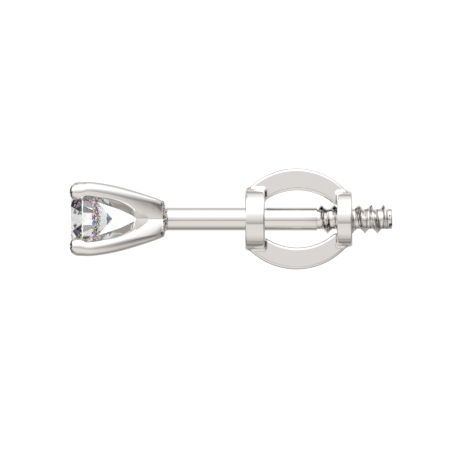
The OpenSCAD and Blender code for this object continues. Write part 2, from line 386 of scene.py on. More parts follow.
def new_material(name: str, plain: dict[str | int, object]) -> tuple[Material, NodeTree, Node]:
    """Makes a material with one shader.

    Args:
        name: Name of the material.
        plain: The plain values of the shader's own sockets.

    Returns:
        The material, its tree and its shader.
    """
    material = bpy.data.materials.new(name)
    material.use_nodes = True
    shader = material.node_tree.nodes["Principled BSDF"]
    feed(material.node_tree, shader, plain)
    return material, material.node_tree, shader


def new_group(
    name: str, tree_type: str, takes: dict[str, Kind | float | int], gives: dict[str, Kind]
) -> tuple[NodeTree, Node, Node]:
    """Makes a node group with named inputs and outputs.

    Args:
        name: Name of the group.
        tree_type: The kind of tree that it is.
        takes: The kind of each input, or the number that it starts with.
        gives: The kind of each output.

    Returns:
        The group, its input node and its output node.
    """
    tree = bpy.data.node_groups.new(name, tree_type)
    for label, given in takes.items():
        number = Kind.COUNT if isinstance(given, int) else Kind.VALUE
        kind = given if isinstance(given, Kind) else number
        socket = tree.interface.new_socket(name=label, in_out="INPUT", socket_type=kind.value)
        if kind is not given:
            socket.default_value = given
    for label, kind in gives.items():
        tree.interface.new_socket(name=label, in_out="OUTPUT", socket_type=kind.value)
    return tree, tree.nodes.new("NodeGroupInput"), tree.nodes.new("NodeGroupOutput")


def run_tree(thing: Object, tree: NodeTree, inputs: dict[str, object]) -> Object:
    """Runs a geometry tree on an object and keeps the result as the object's plain mesh.

    Args:
        thing: The object that the tree starts from.
        tree: The geometry tree.
        inputs: A value for each named input of the tree.

    Returns:
        The same object, with no modifier left on it.
    """
    modifier = thing.modifiers.new(tree.name, "NODES")
    modifier.node_group = tree
    sockets = {i.name: i.identifier for i in tree.interface.items_tree if i.in_out == "INPUT"}
    for name, value in inputs.items():
        modifier[sockets[name]] = value
    graph = bpy.context.evaluated_depsgraph_get()
    made = bpy.data.meshes.new_from_object(thing.evaluated_get(graph))
    made.name = thing.name
    thing.modifiers.remove(modifier)
    thing.data = made
    return thing


# finishes


def polish_marks_group() -> NodeTree:
    """The marks that polishing leaves: a roughness and a faint height that change over a surface."""
    takes = {
        "Vector": Kind.VECTOR,
        "Patch Scale": 500.0,
        "Hairline Scale": 4000.0,
        "Smooth": 0.03,
        "Worn": 0.06,
    }
    gives = dict.fromkeys(("Roughness", "Height", "Patches"), Kind.VALUE)
    tree, start, end = new_group("polish_marks", "ShaderNodeTree", takes, gives)
    where, patch_scale, hair_scale, smooth, worn = list(start.outputs)[:5]
    patch_detail, hair_detail, drawn_out = 3.0, 4.0, (0.12, 1.0, 1.0)
    low, high = 0.35, 0.7
    patch = add_node(
        tree, "ShaderNodeTexNoise", {"Vector": where, "Scale": patch_scale, "Detail": patch_detail}
    )
    drawn = add_node(tree, "ShaderNodeMapping", {"Vector": where, "Scale": drawn_out})
    hair = add_node(
        tree, "ShaderNodeTexNoise", {"Vector": drawn.outputs[0], "Scale": hair_scale, "Detail": hair_detail}
    )
    reach = {"From Min": low, "From Max": high, "To Min": smooth, "To Max": worn}
    band = add_node(tree, "ShaderNodeMapRange", {"Value": patch.outputs[0], **reach})
    feed(tree, end, {"Roughness": band.outputs[0], "Height": hair.outputs[0], "Patches": patch.outputs[0]})
    return tree


@dataclass(frozen=True)
class ToolMarkAndPaintedShade:
    """A place that keeps the marks of a tool, with a dark fill in them that is painted shade at most places.

    It reaches from start to end along the post and, where they are given, over a range of the
    distance to either side and a range of height, all in mm. The grain is the number of marks to
    a mm along each axis. The dark fill takes the marks that are higher than its level, and a level
    below 0 spreads it over the whole place.
    """

    name: str
    start: float
    end: float
    grain: tuple[float, float, float]
    depth_um: float
    dark_fill_and_painted_shade: float
    level: float = 0.52
    aside: tuple[float, float] | None = None
    height: tuple[float, float] | None = None


@dataclass(frozen=True)
class PaintedFlankReflection:
    """The painted dark reflection on the thread: a dark line that follows the thread beside its crest.

    Its middle, its half-width and its soft edge are in turns of the thread from the crest.
    """

    start: float = 10.8
    end: float = 14.0
    crest_at: float = 10.958
    pitch: float = 0.54
    middle: float = 0.86
    half: float = 0.058
    edge: float = 0.04
    strength: float = 0.9
    mottle: tuple[float, float] = (1.6, -0.1)
    turns_behind: int = 40

    def draw(
        self, tree: NodeTree, s: NodeSocket, across: NodeSocket, up: NodeSocket, grain: NodeSocket
    ) -> NodeSocket:
        """Adds the line.

        Args:
            tree: The material's tree.
            s: The place along the post, in mm.
            across: The place across it.
            up: The place towards the viewer.
            grain: A noise that breaks the line up.

        Returns:
            How dark the line is.
        """
        turned = math_node(tree, "MULTIPLY", math_node(tree, "ARCTAN2", up, across), -1 / math.tau)
        phase = math_node(tree, "MULTIPLY_ADD", s, 1 / self.pitch, turned)
        phase = math_node(tree, "ADD", phase, self.turns_behind - self.crest_at / self.pitch)
        phase = math_node(tree, "FRACT", phase)
        off = math_node(tree, "ABSOLUTE", math_node(tree, "SUBTRACT", phase, self.middle))
        line = math_node(tree, "MULTIPLY_ADD", off, -1 / self.edge, self.half / self.edge, clamp=True)
        line = math_node(tree, "MULTIPLY", line, math_node(tree, "MULTIPLY_ADD", grain, *self.mottle))
        line = math_node(tree, "MULTIPLY", line, soft_range(tree, s, self.start, self.end), clamp=True)
        return math_node(tree, "MULTIPLY", line, self.strength)


POST_MARKS_AND_PAINTED_SHADE = (
    # file marks on the claw tips, with painted dark reflections in them
    ToolMarkAndPaintedShade("file marks and painted dark reflections on the claw tips", -0.1, 0.2, (8.0, 10.0, 1.4), 20.0, 0.93, 0.51),
    ToolMarkAndPaintedShade("solder round the post", 4.04, 4.3, (14.0, 14.0, 3.0), 30.0, 0.9),
    # painted dark reflections at the corners of the base's rim
    ToolMarkAndPaintedShade("corners of the base's rim", 3.98, 4.1, (9.0, 3.0, 3.0), 4.0, 0.95, 0.3, (0.54, 0.74), (0.4, 1.0)),
    ToolMarkAndPaintedShade("burr at the post's end", 13.87, 14.2, (5.0, 6.0, 1.0), 20.0, 0.95, 0.5),
    # the thread's cut lines, with painted shade in them
    ToolMarkAndPaintedShade("cut lines and painted shade of the thread", 10.76, 13.75, (8.0, 0.64, 0.64), 24.0, 0.55),
)

NUT_MARKS_AND_PAINTED_SHADE = (
    # painted shade over the ring's inner wall, which the post mirrors darker
    ToolMarkAndPaintedShade("painted shade on the inner wall", 8.56, 11.6, (2.0, 2.0, 2.0), 0.5, 0.42, -1.0, (0.6, 1.28), (-0.26, 0.26)),
    # painted shade in the corners where the front and rear discs meet the ring
    ToolMarkAndPaintedShade("front disc's corner", 8.47, 8.6, (9.0, 3.0, 9.0), 4.0, 0.9, 0.38, (0.94, 1.22), (0.28, 0.5)),
    ToolMarkAndPaintedShade("rear disc's corner", 11.55, 11.66, (9.0, 3.0, 9.0), 4.0, 0.5, 0.5, (0.7, 1.1), (0.28, 0.5)),
)


@dataclass(frozen=True)
class WhiteGold:
    """Polished white gold, with the slight unevenness that a polishing wheel leaves."""

    name: str
    light: Triple = (0.935, 0.915, 0.898)
    warm: Triple = (0.915, 0.89, 0.868)
    smooth: float = 0.015
    worn: float = 0.04
    hairline_depth: float = 2.0e-8
    hairline_strength: float = 0.5
    tool_marks_and_painted_shade: tuple[ToolMarkAndPaintedShade, ...] = ()
    painted_flank_reflection: PaintedFlankReflection | None = None
    # the colour of the marks' dark fill, which is painted shade at most of them
    dark_fill_and_painted_shade: Triple = (0.05, 0.043, 0.038)
    dark_fill_and_painted_shade_contrast: float = 14.0

    def build(self, marks: NodeTree) -> Material:
        """Makes the material.

        Args:
            marks: The group that gives the polishing marks.

        Returns:
            The material.
        """
        material, tree, shader = new_material(self.name, {"Metallic": 1.0})
        where = add_node(tree, "ShaderNodeTexCoord").outputs["Object"]
        polish = add_node(
            tree,
            "ShaderNodeGroup",
            {"Vector": where, "Smooth": self.smooth, "Worn": self.worn},
            node_tree=marks,
        ).outputs
        colour = mix_node(tree, polish["Patches"], self.light, self.warm)
        hair = {"Strength": self.hairline_strength, "Distance": self.hairline_depth, "Height": polish["Height"]}
        normal = add_node(tree, "ShaderNodeBump", hair).outputs[0]
        if self.tool_marks_and_painted_shade:
            height, dark_fill_and_painted_shade = self.add_marks_and_painted_shade(tree, where)
            deep = {"Distance": MICRON, "Height": height, "Normal": normal}
            normal = add_node(tree, "ShaderNodeBump", deep).outputs[0]
            # paints the marks' dark fill into the colour: painted shade and painted dark reflections at most
            # marks
            colour = mix_node(tree, dark_fill_and_painted_shade, colour, self.dark_fill_and_painted_shade)
        feed(tree, shader, {"Base Color": colour, "Roughness": polish["Roughness"], "Normal": normal})
        return material

    def add_marks_and_painted_shade(self, tree: NodeTree, where: NodeSocket) -> tuple[NodeSocket, NodeSocket]:
        """Adds the tool marks, their dark fill with its painted shade, and the painted dark line along the
        thread.

        Args:
            tree: The material's tree.
            where: The object's coordinates.

        Returns:
            The marks' height in micrometres and how much dark fill there is, painted shade at most marks.
        """
        s = place_along(tree, where, (1.0, 0.0, 0.0), REST.mid_x)
        across, up = across_and_up(tree, where)
        aside = math_node(tree, "ABSOLUTE", across)
        contrast = self.dark_fill_and_painted_shade_contrast
        height: Value = 0.0
        dark_fill_and_painted_shade: Value = 0.0
        for mark in self.tool_marks_and_painted_shade:
            drawn = add_node(
                tree, "ShaderNodeMapping", {"Vector": where, "Scale": tuple(g / MM for g in mark.grain)}
            ).outputs[0]
            grain = add_node(
                tree, "ShaderNodeTexNoise", {"Vector": drawn, "Scale": 1.0, "Detail": 1.0}
            ).outputs[0]
            there = soft_range(tree, s, mark.start, mark.end)
            for value, span in ((aside, mark.aside), (up, mark.height)):
                if span:
                    there = math_node(tree, "MULTIPLY", there, soft_range(tree, value, *span))
            deep = math_node(tree, "MULTIPLY", there, mark.depth_um)
            height = math_node(tree, "MULTIPLY_ADD", grain, deep, height)
            dark = math_node(tree, "MULTIPLY_ADD", grain, contrast, -contrast * mark.level, clamp=True)
            dark = math_node(tree, "MULTIPLY", dark, math_node(tree, "MULTIPLY", there, mark.dark_fill_and_painted_shade))
            dark_fill_and_painted_shade = math_node(tree, "MAXIMUM", dark_fill_and_painted_shade, dark)
        # the painted dark reflection along the thread joins the dark fill
        if self.painted_flank_reflection:
            # the last mark's grain, that of the thread, breaks the line up as well
            line = self.painted_flank_reflection.draw(tree, s, across, up, grain)
            dark_fill_and_painted_shade = math_node(tree, "MAXIMUM", dark_fill_and_painted_shade, line)
        return height, dark_fill_and_painted_shade


@dataclass(frozen=True)
class PaintedTone:
    """A flat patch of painted reflection: the tone that one reflection of the stone's facets fills, painted on
    the stone.

    The patch has straight edges between corners, anticlockwise in (s, q): s runs along the post and
    q across the quarter of the stone that the patch lies in. Each quarter mirrors its neighbours.
    The fire is the share of coloured flecks of painted fire in it.
    """

    name: str
    colour: Triple
    corners: tuple[tuple[float, float], ...]
    fire: float = 0.0


def box(s0: float, s1: float, q0: float, q1: float) -> tuple[tuple[float, float], ...]:
    """The corners of a patch from s0 to s1 and from q0 to q1."""
    return (s0, q0), (s1, q0), (s1, q1), (s0, q1)


# painted reflections: each tone paints on the stone the light or dark that its facets reflect and refract
PAINTED_TONES = (
    PaintedTone("light kite", (0.79, 0.79, 0.78), box(0.0, 0.54, -1.2, 1.2)),
    PaintedTone(
        "dark crown",
        (0.05, 0.05, 0.08),
        ((0.0, 1.2), (0.0, 0.58), (0.41, 0.33), (0.54, 0.25), (0.54, 1.2)),
        0.14,
    ),
    PaintedTone(
        "grey corner of the crown",
        (0.2, 0.2, 0.21),
        ((0.33, 0.19), (0.54, 0.19), (0.54, 0.25), (0.41, 0.33)),
    ),
    PaintedTone(
        "dark crown, other side",
        (0.06, 0.06, 0.09),
        ((0.14, -0.51), (0.21, -0.7), (0.54, -1.2), (0.54, -0.21)),
        0.16,
    ),
    PaintedTone("bright edge of the crown", WHITE, ((0.0, -0.3), (0.0, -1.2), (0.52, -1.2), (0.14, -0.51))),
    PaintedTone("girdle", WHITE, box(0.535, 0.59, -1.2, 1.2)),
    PaintedTone("window behind the girdle", WHITE, box(0.59, 0.99, -0.27, 0.27)),
    PaintedTone("grey pavilion", (0.24, 0.24, 0.245), ((0.59, 0.27), (0.99, 0.27), (1.12, 0.74), (0.59, 0.74))),
    PaintedTone("white sliver", WHITE, ((0.71, 0.54), (1.06, 0.34), (1.06, 0.43))),
    PaintedTone(
        "grey pavilion, other side",
        (0.34, 0.34, 0.34),
        ((0.59, -0.58), (0.99, -0.41), (0.99, -0.27), (0.59, -0.27)),
    ),
    PaintedTone("claw seen in the pavilion", (0.42, 0.37, 0.32), box(0.59, 1.2, 0.8, 1.2)),
    PaintedTone("other claw seen in the pavilion", (0.5, 0.45, 0.4), box(0.59, 1.2, -1.2, -0.8)),
    PaintedTone("dark edge", (0.15, 0.14, 0.14), box(0.59, 1.1, 0.74, 0.81), 0.35),
    PaintedTone("dark edge, other side", (0.15, 0.14, 0.14), box(0.59, 1.1, -0.81, -0.74), 0.35),
    PaintedTone("blue line before the culet", (0.7, 0.82, 1.0), box(1.57, 1.615, -0.5, 0.5)),
    PaintedTone("culet", (0.17, 0.18, 0.21), box(1.615, 2.0, -0.5, 0.5)),
)


@dataclass(frozen=True)
class CutStone:
    """A clear, strongly refracting stone, with its reflections painted on as flat tones and its fire painted on
    as small coloured flecks.
    """

    name: str = "cut_stone"
    index: float = 2.417
    worn: float = 0.004
    fleck_scale: float = 14500.0
    fleck_share: float = 0.93
    band_start: float = 0.975
    band_end: float = 1.28
    scallop: float = 0.09
    claws_at: float = 0.82
    edge: float = 0.02
    # painted grey for the stone's reflections outside the tones
    plain: Triple = (0.73, 0.735, 0.73)
    tones: tuple[PaintedTone, ...] = PAINTED_TONES
    # colours of the painted flecks of fire
    colours: tuple[Triple, ...] = (
        (0.05, 0.12, 0.6),
        (1.0, 0.32, 0.05),
        (0.12, 0.75, 0.8),
        (0.06, 0.05, 0.14),
        (0.6, 0.12, 0.5),
        (0.9, 0.95, 0.3),
        (0.08, 0.45, 0.18),
        (0.3, 0.25, 0.75),
        (1.0, 0.97, 0.9),
        (0.35, 0.1, 0.06),
    )

    def build(self, marks: NodeTree) -> Material:
        """Makes the material.

        Args:
            marks: The group that gives the polishing marks.

        Returns:
            The material.
        """
        material, tree, shader = new_material(self.name, {"Transmission Weight": 1.0, "IOR": self.index})
        where = add_node(tree, "ShaderNodeTexCoord").outputs["Object"]
        polish = add_node(
            tree, "ShaderNodeGroup", {"Vector": where, "Smooth": 0.0, "Worn": self.worn}, node_tree=marks
        ).outputs
        feed(tree, shader, {"Roughness": polish["Roughness"], "Base Color": self.colour(tree, where)})
        return material

    def rise(self, tree: NodeTree, value: NodeSocket, start: Value) -> NodeSocket:
        """Goes from 0 to 1 where the value passes the start."""
        past = math_node(tree, "SUBTRACT", value, start)
        return math_node(tree, "MULTIPLY_ADD", past, 1 / self.edge, 0.5, clamp=True)

    def patch(self, tree: NodeTree, tone: PaintedTone, s: NodeSocket, q: NodeSocket) -> NodeSocket:
        """Adds the mask of one tone.

        Args:
            tree: The material's tree.
            tone: The tone.
            s: The place along the post, in mm.
            q: The place across the quarter of the stone.

        Returns:
            The mask.
        """
        inside: NodeSocket | None = None
        for (s0, q0), (s1, q1) in zip(tone.corners, tone.corners[1:] + tone.corners[:1]):
            long = math.hypot(s1 - s0, q1 - q0)
            n = (-(q1 - q0) / long, (s1 - s0) / long)
            off = math_node(tree, "MULTIPLY_ADD", s, n[0], -(n[0] * s0 + n[1] * q0))
            off = math_node(tree, "MULTIPLY_ADD", q, n[1], off)
            inside = off if inside is None else math_node(tree, "MINIMUM", inside, off)
        return self.rise(tree, inside, 0.0)

    def flecks(self, tree: NodeTree, where: NodeSocket, share: NodeSocket, below: NodeSocket) -> NodeSocket:
        """Lays the small coloured flecks of painted fire over a colour.

        Args:
            tree: The material's tree.
            where: The object's coordinates.
            share: The share of the surface that the flecks take.
            below: The colour below them.

        Returns:
            The colour with the flecks.
        """
        cells = add_node(tree, "ShaderNodeTexVoronoi", {"Vector": where, "Scale": self.fleck_scale})
        chance = add_node(tree, "ShaderNodeSeparateColor", {0: cells.outputs["Color"]}).outputs
        hue = add_node(tree, "ShaderNodeValToRGB", {"Fac": chance[1]})
        hue.color_ramp.interpolation = "CONSTANT"
        fill_ramp(hue.color_ramp, [(i / len(self.colours), fleck) for i, fleck in enumerate(self.colours)])
        return mix_node(tree, math_node(tree, "LESS_THAN", chance[0], share), below, hue.outputs["Color"])

    def colour(self, tree: NodeTree, where: NodeSocket) -> NodeSocket:
        """Adds the painted tones, which stand for the stone's reflections, and the painted flecks of fire over
        them.

        The flecks lie in some of the tones and in the band where the pavilion mirrors the girdle.

        Args:
            tree: The material's tree.
            where: The object's coordinates.

        Returns:
            The colour.
        """
        c, d = math.cos(REST.tilt), math.sin(REST.tilt)
        s = place_along(tree, where, (c, 0.0, -d), REST.mid_x * c + REST.lift * d)
        across, up = across_and_up(tree, where)
        turn = math_node(tree, "ARCTAN2", across, up)
        far = math_node(tree, "MULTIPLY_ADD", up, up, math_node(tree, "MULTIPLY", across, across))
        far = math_node(tree, "SQRT", far)
        quarter = math_node(tree, "PINGPONG", math_node(tree, "ADD", turn, math.pi / 4), math.pi / 2)
        quarter = math_node(tree, "SUBTRACT", quarter, math.pi / 4)
        q = math_node(tree, "MULTIPLY", far, math_node(tree, "SINE", quarter))
        colour: Triple | NodeSocket = self.plain
        fire: Value = 0.0
        for tone in self.tones:
            mask = self.patch(tree, tone, s, q)
            colour = mix_node(tree, mask, colour, tone.colour)
            kept = math_node(tree, "MULTIPLY", fire, math_node(tree, "SUBTRACT", 1.0, mask))
            fire = math_node(tree, "MULTIPLY_ADD", mask, tone.fire, kept)
        wave = math_node(tree, "COSINE", math_node(tree, "MULTIPLY", turn, 4.0))
        start = self.rise(tree, s, self.band_start)
        stop = self.rise(tree, s, math_node(tree, "MULTIPLY_ADD", wave, self.scallop, self.band_end))
        claws = self.rise(tree, math_node(tree, "ABSOLUTE", q), self.claws_at)
        band = math_node(tree, "SUBTRACT", start, stop, clamp=True)
        band = math_node(tree, "SUBTRACT", band, claws, clamp=True)
        share = math_node(tree, "MAXIMUM", math_node(tree, "MULTIPLY", band, self.fleck_share), fire)
        colour = self.flecks(tree, where, share, colour)
        behind = add_node(tree, "ShaderNodeNewGeometry").outputs["Backfacing"]
        colour = mix_node(tree, behind, colour, WHITE)
        # light that goes in is tinted by the root of the colour, so it is squared
        return add_node(tree, "ShaderNodeVectorMath", {0: colour, 1: colour}, operation="MULTIPLY").outputs[0]


# pieces


@dataclass
class Brilliant:
    """The round brilliant, with its table towards the claw tips and its culet in the setting."""

    diameter: float = 3.0
    table_share: float = 0.55
    crown_deg: float = 35.0
    pavilion_deg: float = 40.5
    girdle: float = 0.048
    table_inset: float = 0.056
    star_share: float = 0.77
    lower_share: float = 0.25
    scallop: float = 0.005
    finish: CutStone = field(default_factory=CutStone)

    STEP_DEG = 22.5

    @property
    def crown_at(self) -> float:
        """The station where the crown meets the girdle."""
        r = self.diameter / 2
        return self.table_inset + (r - r * self.table_share) * math.tan(math.radians(self.crown_deg))

    @property
    def pavilion_at(self) -> float:
        """The station where the pavilion meets the girdle."""
        return self.crown_at + self.girdle

    def reach(self, s: float) -> float:
        """How far the stone reaches from its axis at a station."""
        if s < self.crown_at:
            return self.diameter / 2 - (self.crown_at - s) / math.tan(math.radians(self.crown_deg))
        past = max(0.0, s - self.pavilion_at)
        return self.diameter / 2 - past / math.tan(math.radians(self.pavilion_deg))

    def at(self, s: float, radius: float, turn: float) -> np.ndarray:
        """A point at a station and radius, turned by sixteenths of a round."""
        a = math.radians(self.STEP_DEG * turn)
        return np.array([s, radius * math.cos(a), radius * math.sin(a)])

    @staticmethod
    def plane(a: np.ndarray, b: np.ndarray, c: np.ndarray) -> Callable[[np.ndarray], float]:
        """The station over a point across the axis, on the plane through three points."""
        n = np.cross(b - a, c - a)
        return lambda p: a[0] - (n[1] * (p[0] - a[1]) + n[2] * (p[1] - a[2])) / n[0]

    def rim(self, turn: int, step: int, fall: Callable[[np.ndarray], float]) -> np.ndarray:
        """A point of the girdle between two corners, on the plane of a half facet.

        Args:
            turn: Number of the girdle's corner that the half facet starts at, 16 to a round.
            step: How many quarters of the way to the next corner the point lies.
            fall: Gives the station on the half facet's plane over a point across the axis.

        Returns:
            The point.
        """
        share = step / 4
        r = self.diameter / 2 * (1 - self.scallop * (1 - (2 * share - 1) ** 2))
        point = self.at(0.0, r, turn + share)
        point[0] = fall(point[1:])
        return point

    def build(self, marks: NodeTree) -> Object:
        """Makes the stone.

        Args:
            marks: The group that gives the polishing marks.

        Returns:
            The stone's object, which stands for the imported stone.
        """
        r = self.diameter / 2
        crown, pavilion = math.tan(math.radians(self.crown_deg)), math.tan(math.radians(self.pavilion_deg))
        star_r, lower_r = r * self.star_share, r * self.lower_share
        half = math.cos(math.radians(self.STEP_DEG))
        star_at = self.crown_at - (r - star_r * half) * crown
        lower_at = self.pavilion_at + (r - lower_r * half) * pavilion
        corners: list[np.ndarray] = []
        faces: list[Face] = []

        def facet(*points: np.ndarray) -> None:
            """Adds one facet, seen anticlockwise from outside."""
            first = len(corners)
            corners.extend(points)
            faces.append(tuple(range(first, first + len(points))))

        table = [self.at(self.table_inset, r * self.table_share, 2 * k) for k in range(8)]
        star = [self.at(star_at, star_r, 2 * k + 1) for k in range(8)]
        top = [self.at(self.crown_at, r, k) for k in range(16)]
        bottom = [self.at(self.pavilion_at, r, k) for k in range(16)]
        lower = [self.at(lower_at, lower_r, 2 * k + 1) for k in range(8)]
        culet = np.array([self.pavilion_at + r * pavilion, 0.0, 0.0])
        facet(*table[::-1])
        for k in range(8):
            facet(table[k], table[(k + 1) % 8], star[k])
            facet(table[k], star[k], top[2 * k], star[k - 1])
            facet(lower[k], culet, lower[k - 1], bottom[2 * k])
            for j in (2 * k, 2 * k + 1):
                nxt = (j + 1) % 16
                up = self.plane(star[k], top[j], top[nxt])
                down = self.plane(lower[k], bottom[j], bottom[nxt])
                high = [top[j], *(self.rim(j, i, up) for i in (1, 2, 3)), top[nxt]]
                low = [bottom[j], *(self.rim(j, i, down) for i in (1, 2, 3)), bottom[nxt]]
                facet(star[k], *high[::-1])
                facet(lower[k], *low)
                for i in range(4):
                    facet(high[i], high[i + 1], low[i + 1], low[i])
        thing = mesh_object("brilliant", np.array(corners), faces)
        weld(thing, TINY)
        close_holes(thing)
        put_at_rest(thing, None)
        thing.data.materials.append(self.finish.build(marks))
        return dress(thing, Body.EARRING, "stone")


# station, half-width of the outline, corner radius, outer edge of the notch
OUTLINE = np.array(
    [
        [0.387, 1.610, 0.405, 0.900],
        [0.461, 1.612, 0.405, 0.960],
        [0.522, 1.614, 0.400, 1.010],
        [0.583, 1.616, 0.391, 1.030],
        [0.661, 1.618, 0.374, 1.040],
        [0.757, 1.622, 0.357, 1.035],
        [0.866, 1.622, 0.352, 1.030],
        [1.018, 1.609, 0.352, 1.017],
        [1.235, 1.583, 0.357, 0.987],
        [1.453, 1.553, 0.361, 0.944],
        [1.670, 1.522, 0.365, 0.922],
        [1.888, 1.479, 0.370, 0.887],
        [2.105, 1.427, 0.370, 0.828],
        [2.279, 1.383, 0.370, 0.770],
        [2.453, 1.338, 0.365, 0.700],
        [2.606, 1.294, 0.357, 0.626],
        [2.714, 1.264, 0.350, 0.581],
        [2.801, 1.238, 0.344, 0.546],
        [2.901, 1.205, 0.335, 0.496],
        [3.019, 1.168, 0.322, 0.426],
        [3.158, 1.122, 0.307, 0.322],
        [3.289, 1.081, 0.291, 0.2175],
        [3.419, 1.037, 0.276, 0.052],
        [3.584, 0.981, 0.259, 0.052],
        [3.758, 0.922, 0.238, 0.052],
        [3.932, 0.853, 0.240, 0.052],
        [4.076, 0.783, 0.252, 0.052],
        [4.145, 0.752, 0.260, 0.052],
    ]
)

# behind the round of the claw tips the half-width follows one smooth curve
HALF_FIT_FROM = 0.7
HALF_FIT = np.polyfit(OUTLINE[4:, 0], OUTLINE[4:, 1], 6)

# station, crease below the notch's edge, half-width of the opening, share of the round bead
CLAW_SIDE = np.array(
    [
        [0.387, 0.880, 0.840, 1.00],
        [0.461, 0.940, 0.840, 1.00],
        [0.522, 0.990, 0.840, 0.80],
        [0.583, 1.010, 0.840, 0.55],
        [0.661, 1.020, 0.835, 0.25],
        [0.757, 1.018, 0.835, 0.00],
        [0.866, 1.013, 0.818, 0.00],
        [1.018, 1.000, 0.783, 0.00],
        [1.235, 0.970, 0.722, 0.00],
        [1.453, 0.927, 0.652, 0.00],
        [1.670, 0.905, 0.579, 0.00],
        [1.888, 0.870, 0.505, 0.00],
        [2.105, 0.809, 0.431, 0.00],
        [2.279, 0.740, 0.361, 0.00],
        [2.453, 0.644, 0.278, 0.00],
        [2.606, 0.552, 0.209, 0.00],
        [2.714, 0.474, 0.157, 0.00],
        [2.801, 0.370, 0.096, 0.00],
        [2.858, 0.217, 0.052, 0.00],
    ]
)


# the direction of a claw from the axis, and the turn that lays its sections along it
LANE = math.pi / 4
LANE_TURN = np.array([[math.cos(LANE), math.sin(LANE)], [-math.sin(LANE), math.cos(LANE)]])


@dataclass
class Shell:
    """A skin that is laid in rows of points, section by section along the post."""

    points: list[np.ndarray] = field(default_factory=list)
    faces: list[Face] = field(default_factory=list)

    def row(self, s: float, section: np.ndarray) -> list[int]:
        """Adds one section.

        Args:
            s: Its station.
            section: Its points, along and across the claw.

        Returns:
            The numbers of the points.
        """
        first = len(self.points)
        self.points.extend(np.array([s, *p]) for p in section @ LANE_TURN)
        return list(range(first, first + len(section)))

    def cover(self, rows: list[list[int]], closed: bool) -> None:
        """Adds the faces between rows of the same length.

        Args:
            rows: The rows, in order along the post.
            closed: Whether each row runs all the way round.
        """
        n = len(rows[0])
        for a, b in zip(rows, rows[1:]):
            for i in range(n if closed else n - 1):
                k = (i + 1) % n
                self.faces.append((a[i], b[i], b[k], a[k]))

    def join(self, a: list[int], b: list[int]) -> None:
        """Joins two open rows of different lengths with triangles, by their angle round the axis.

        Args:
            a: The first row, in the order of its angle.
            b: The second row, in the same order.
        """
        points = np.array(self.points)
        turn_a, turn_b = (np.arctan2(points[row, 2], points[row, 1]) for row in (a, b))
        i = k = 0
        while i < len(a) - 1 or k < len(b) - 1:
            if i < len(a) - 1 and (k == len(b) - 1 or turn_a[i + 1] <= turn_b[k + 1]):
                self.faces.append((a[i], b[k], a[i + 1]))
                i += 1
            else:
                self.faces.append((a[i], b[k], b[k + 1]))
                k += 1


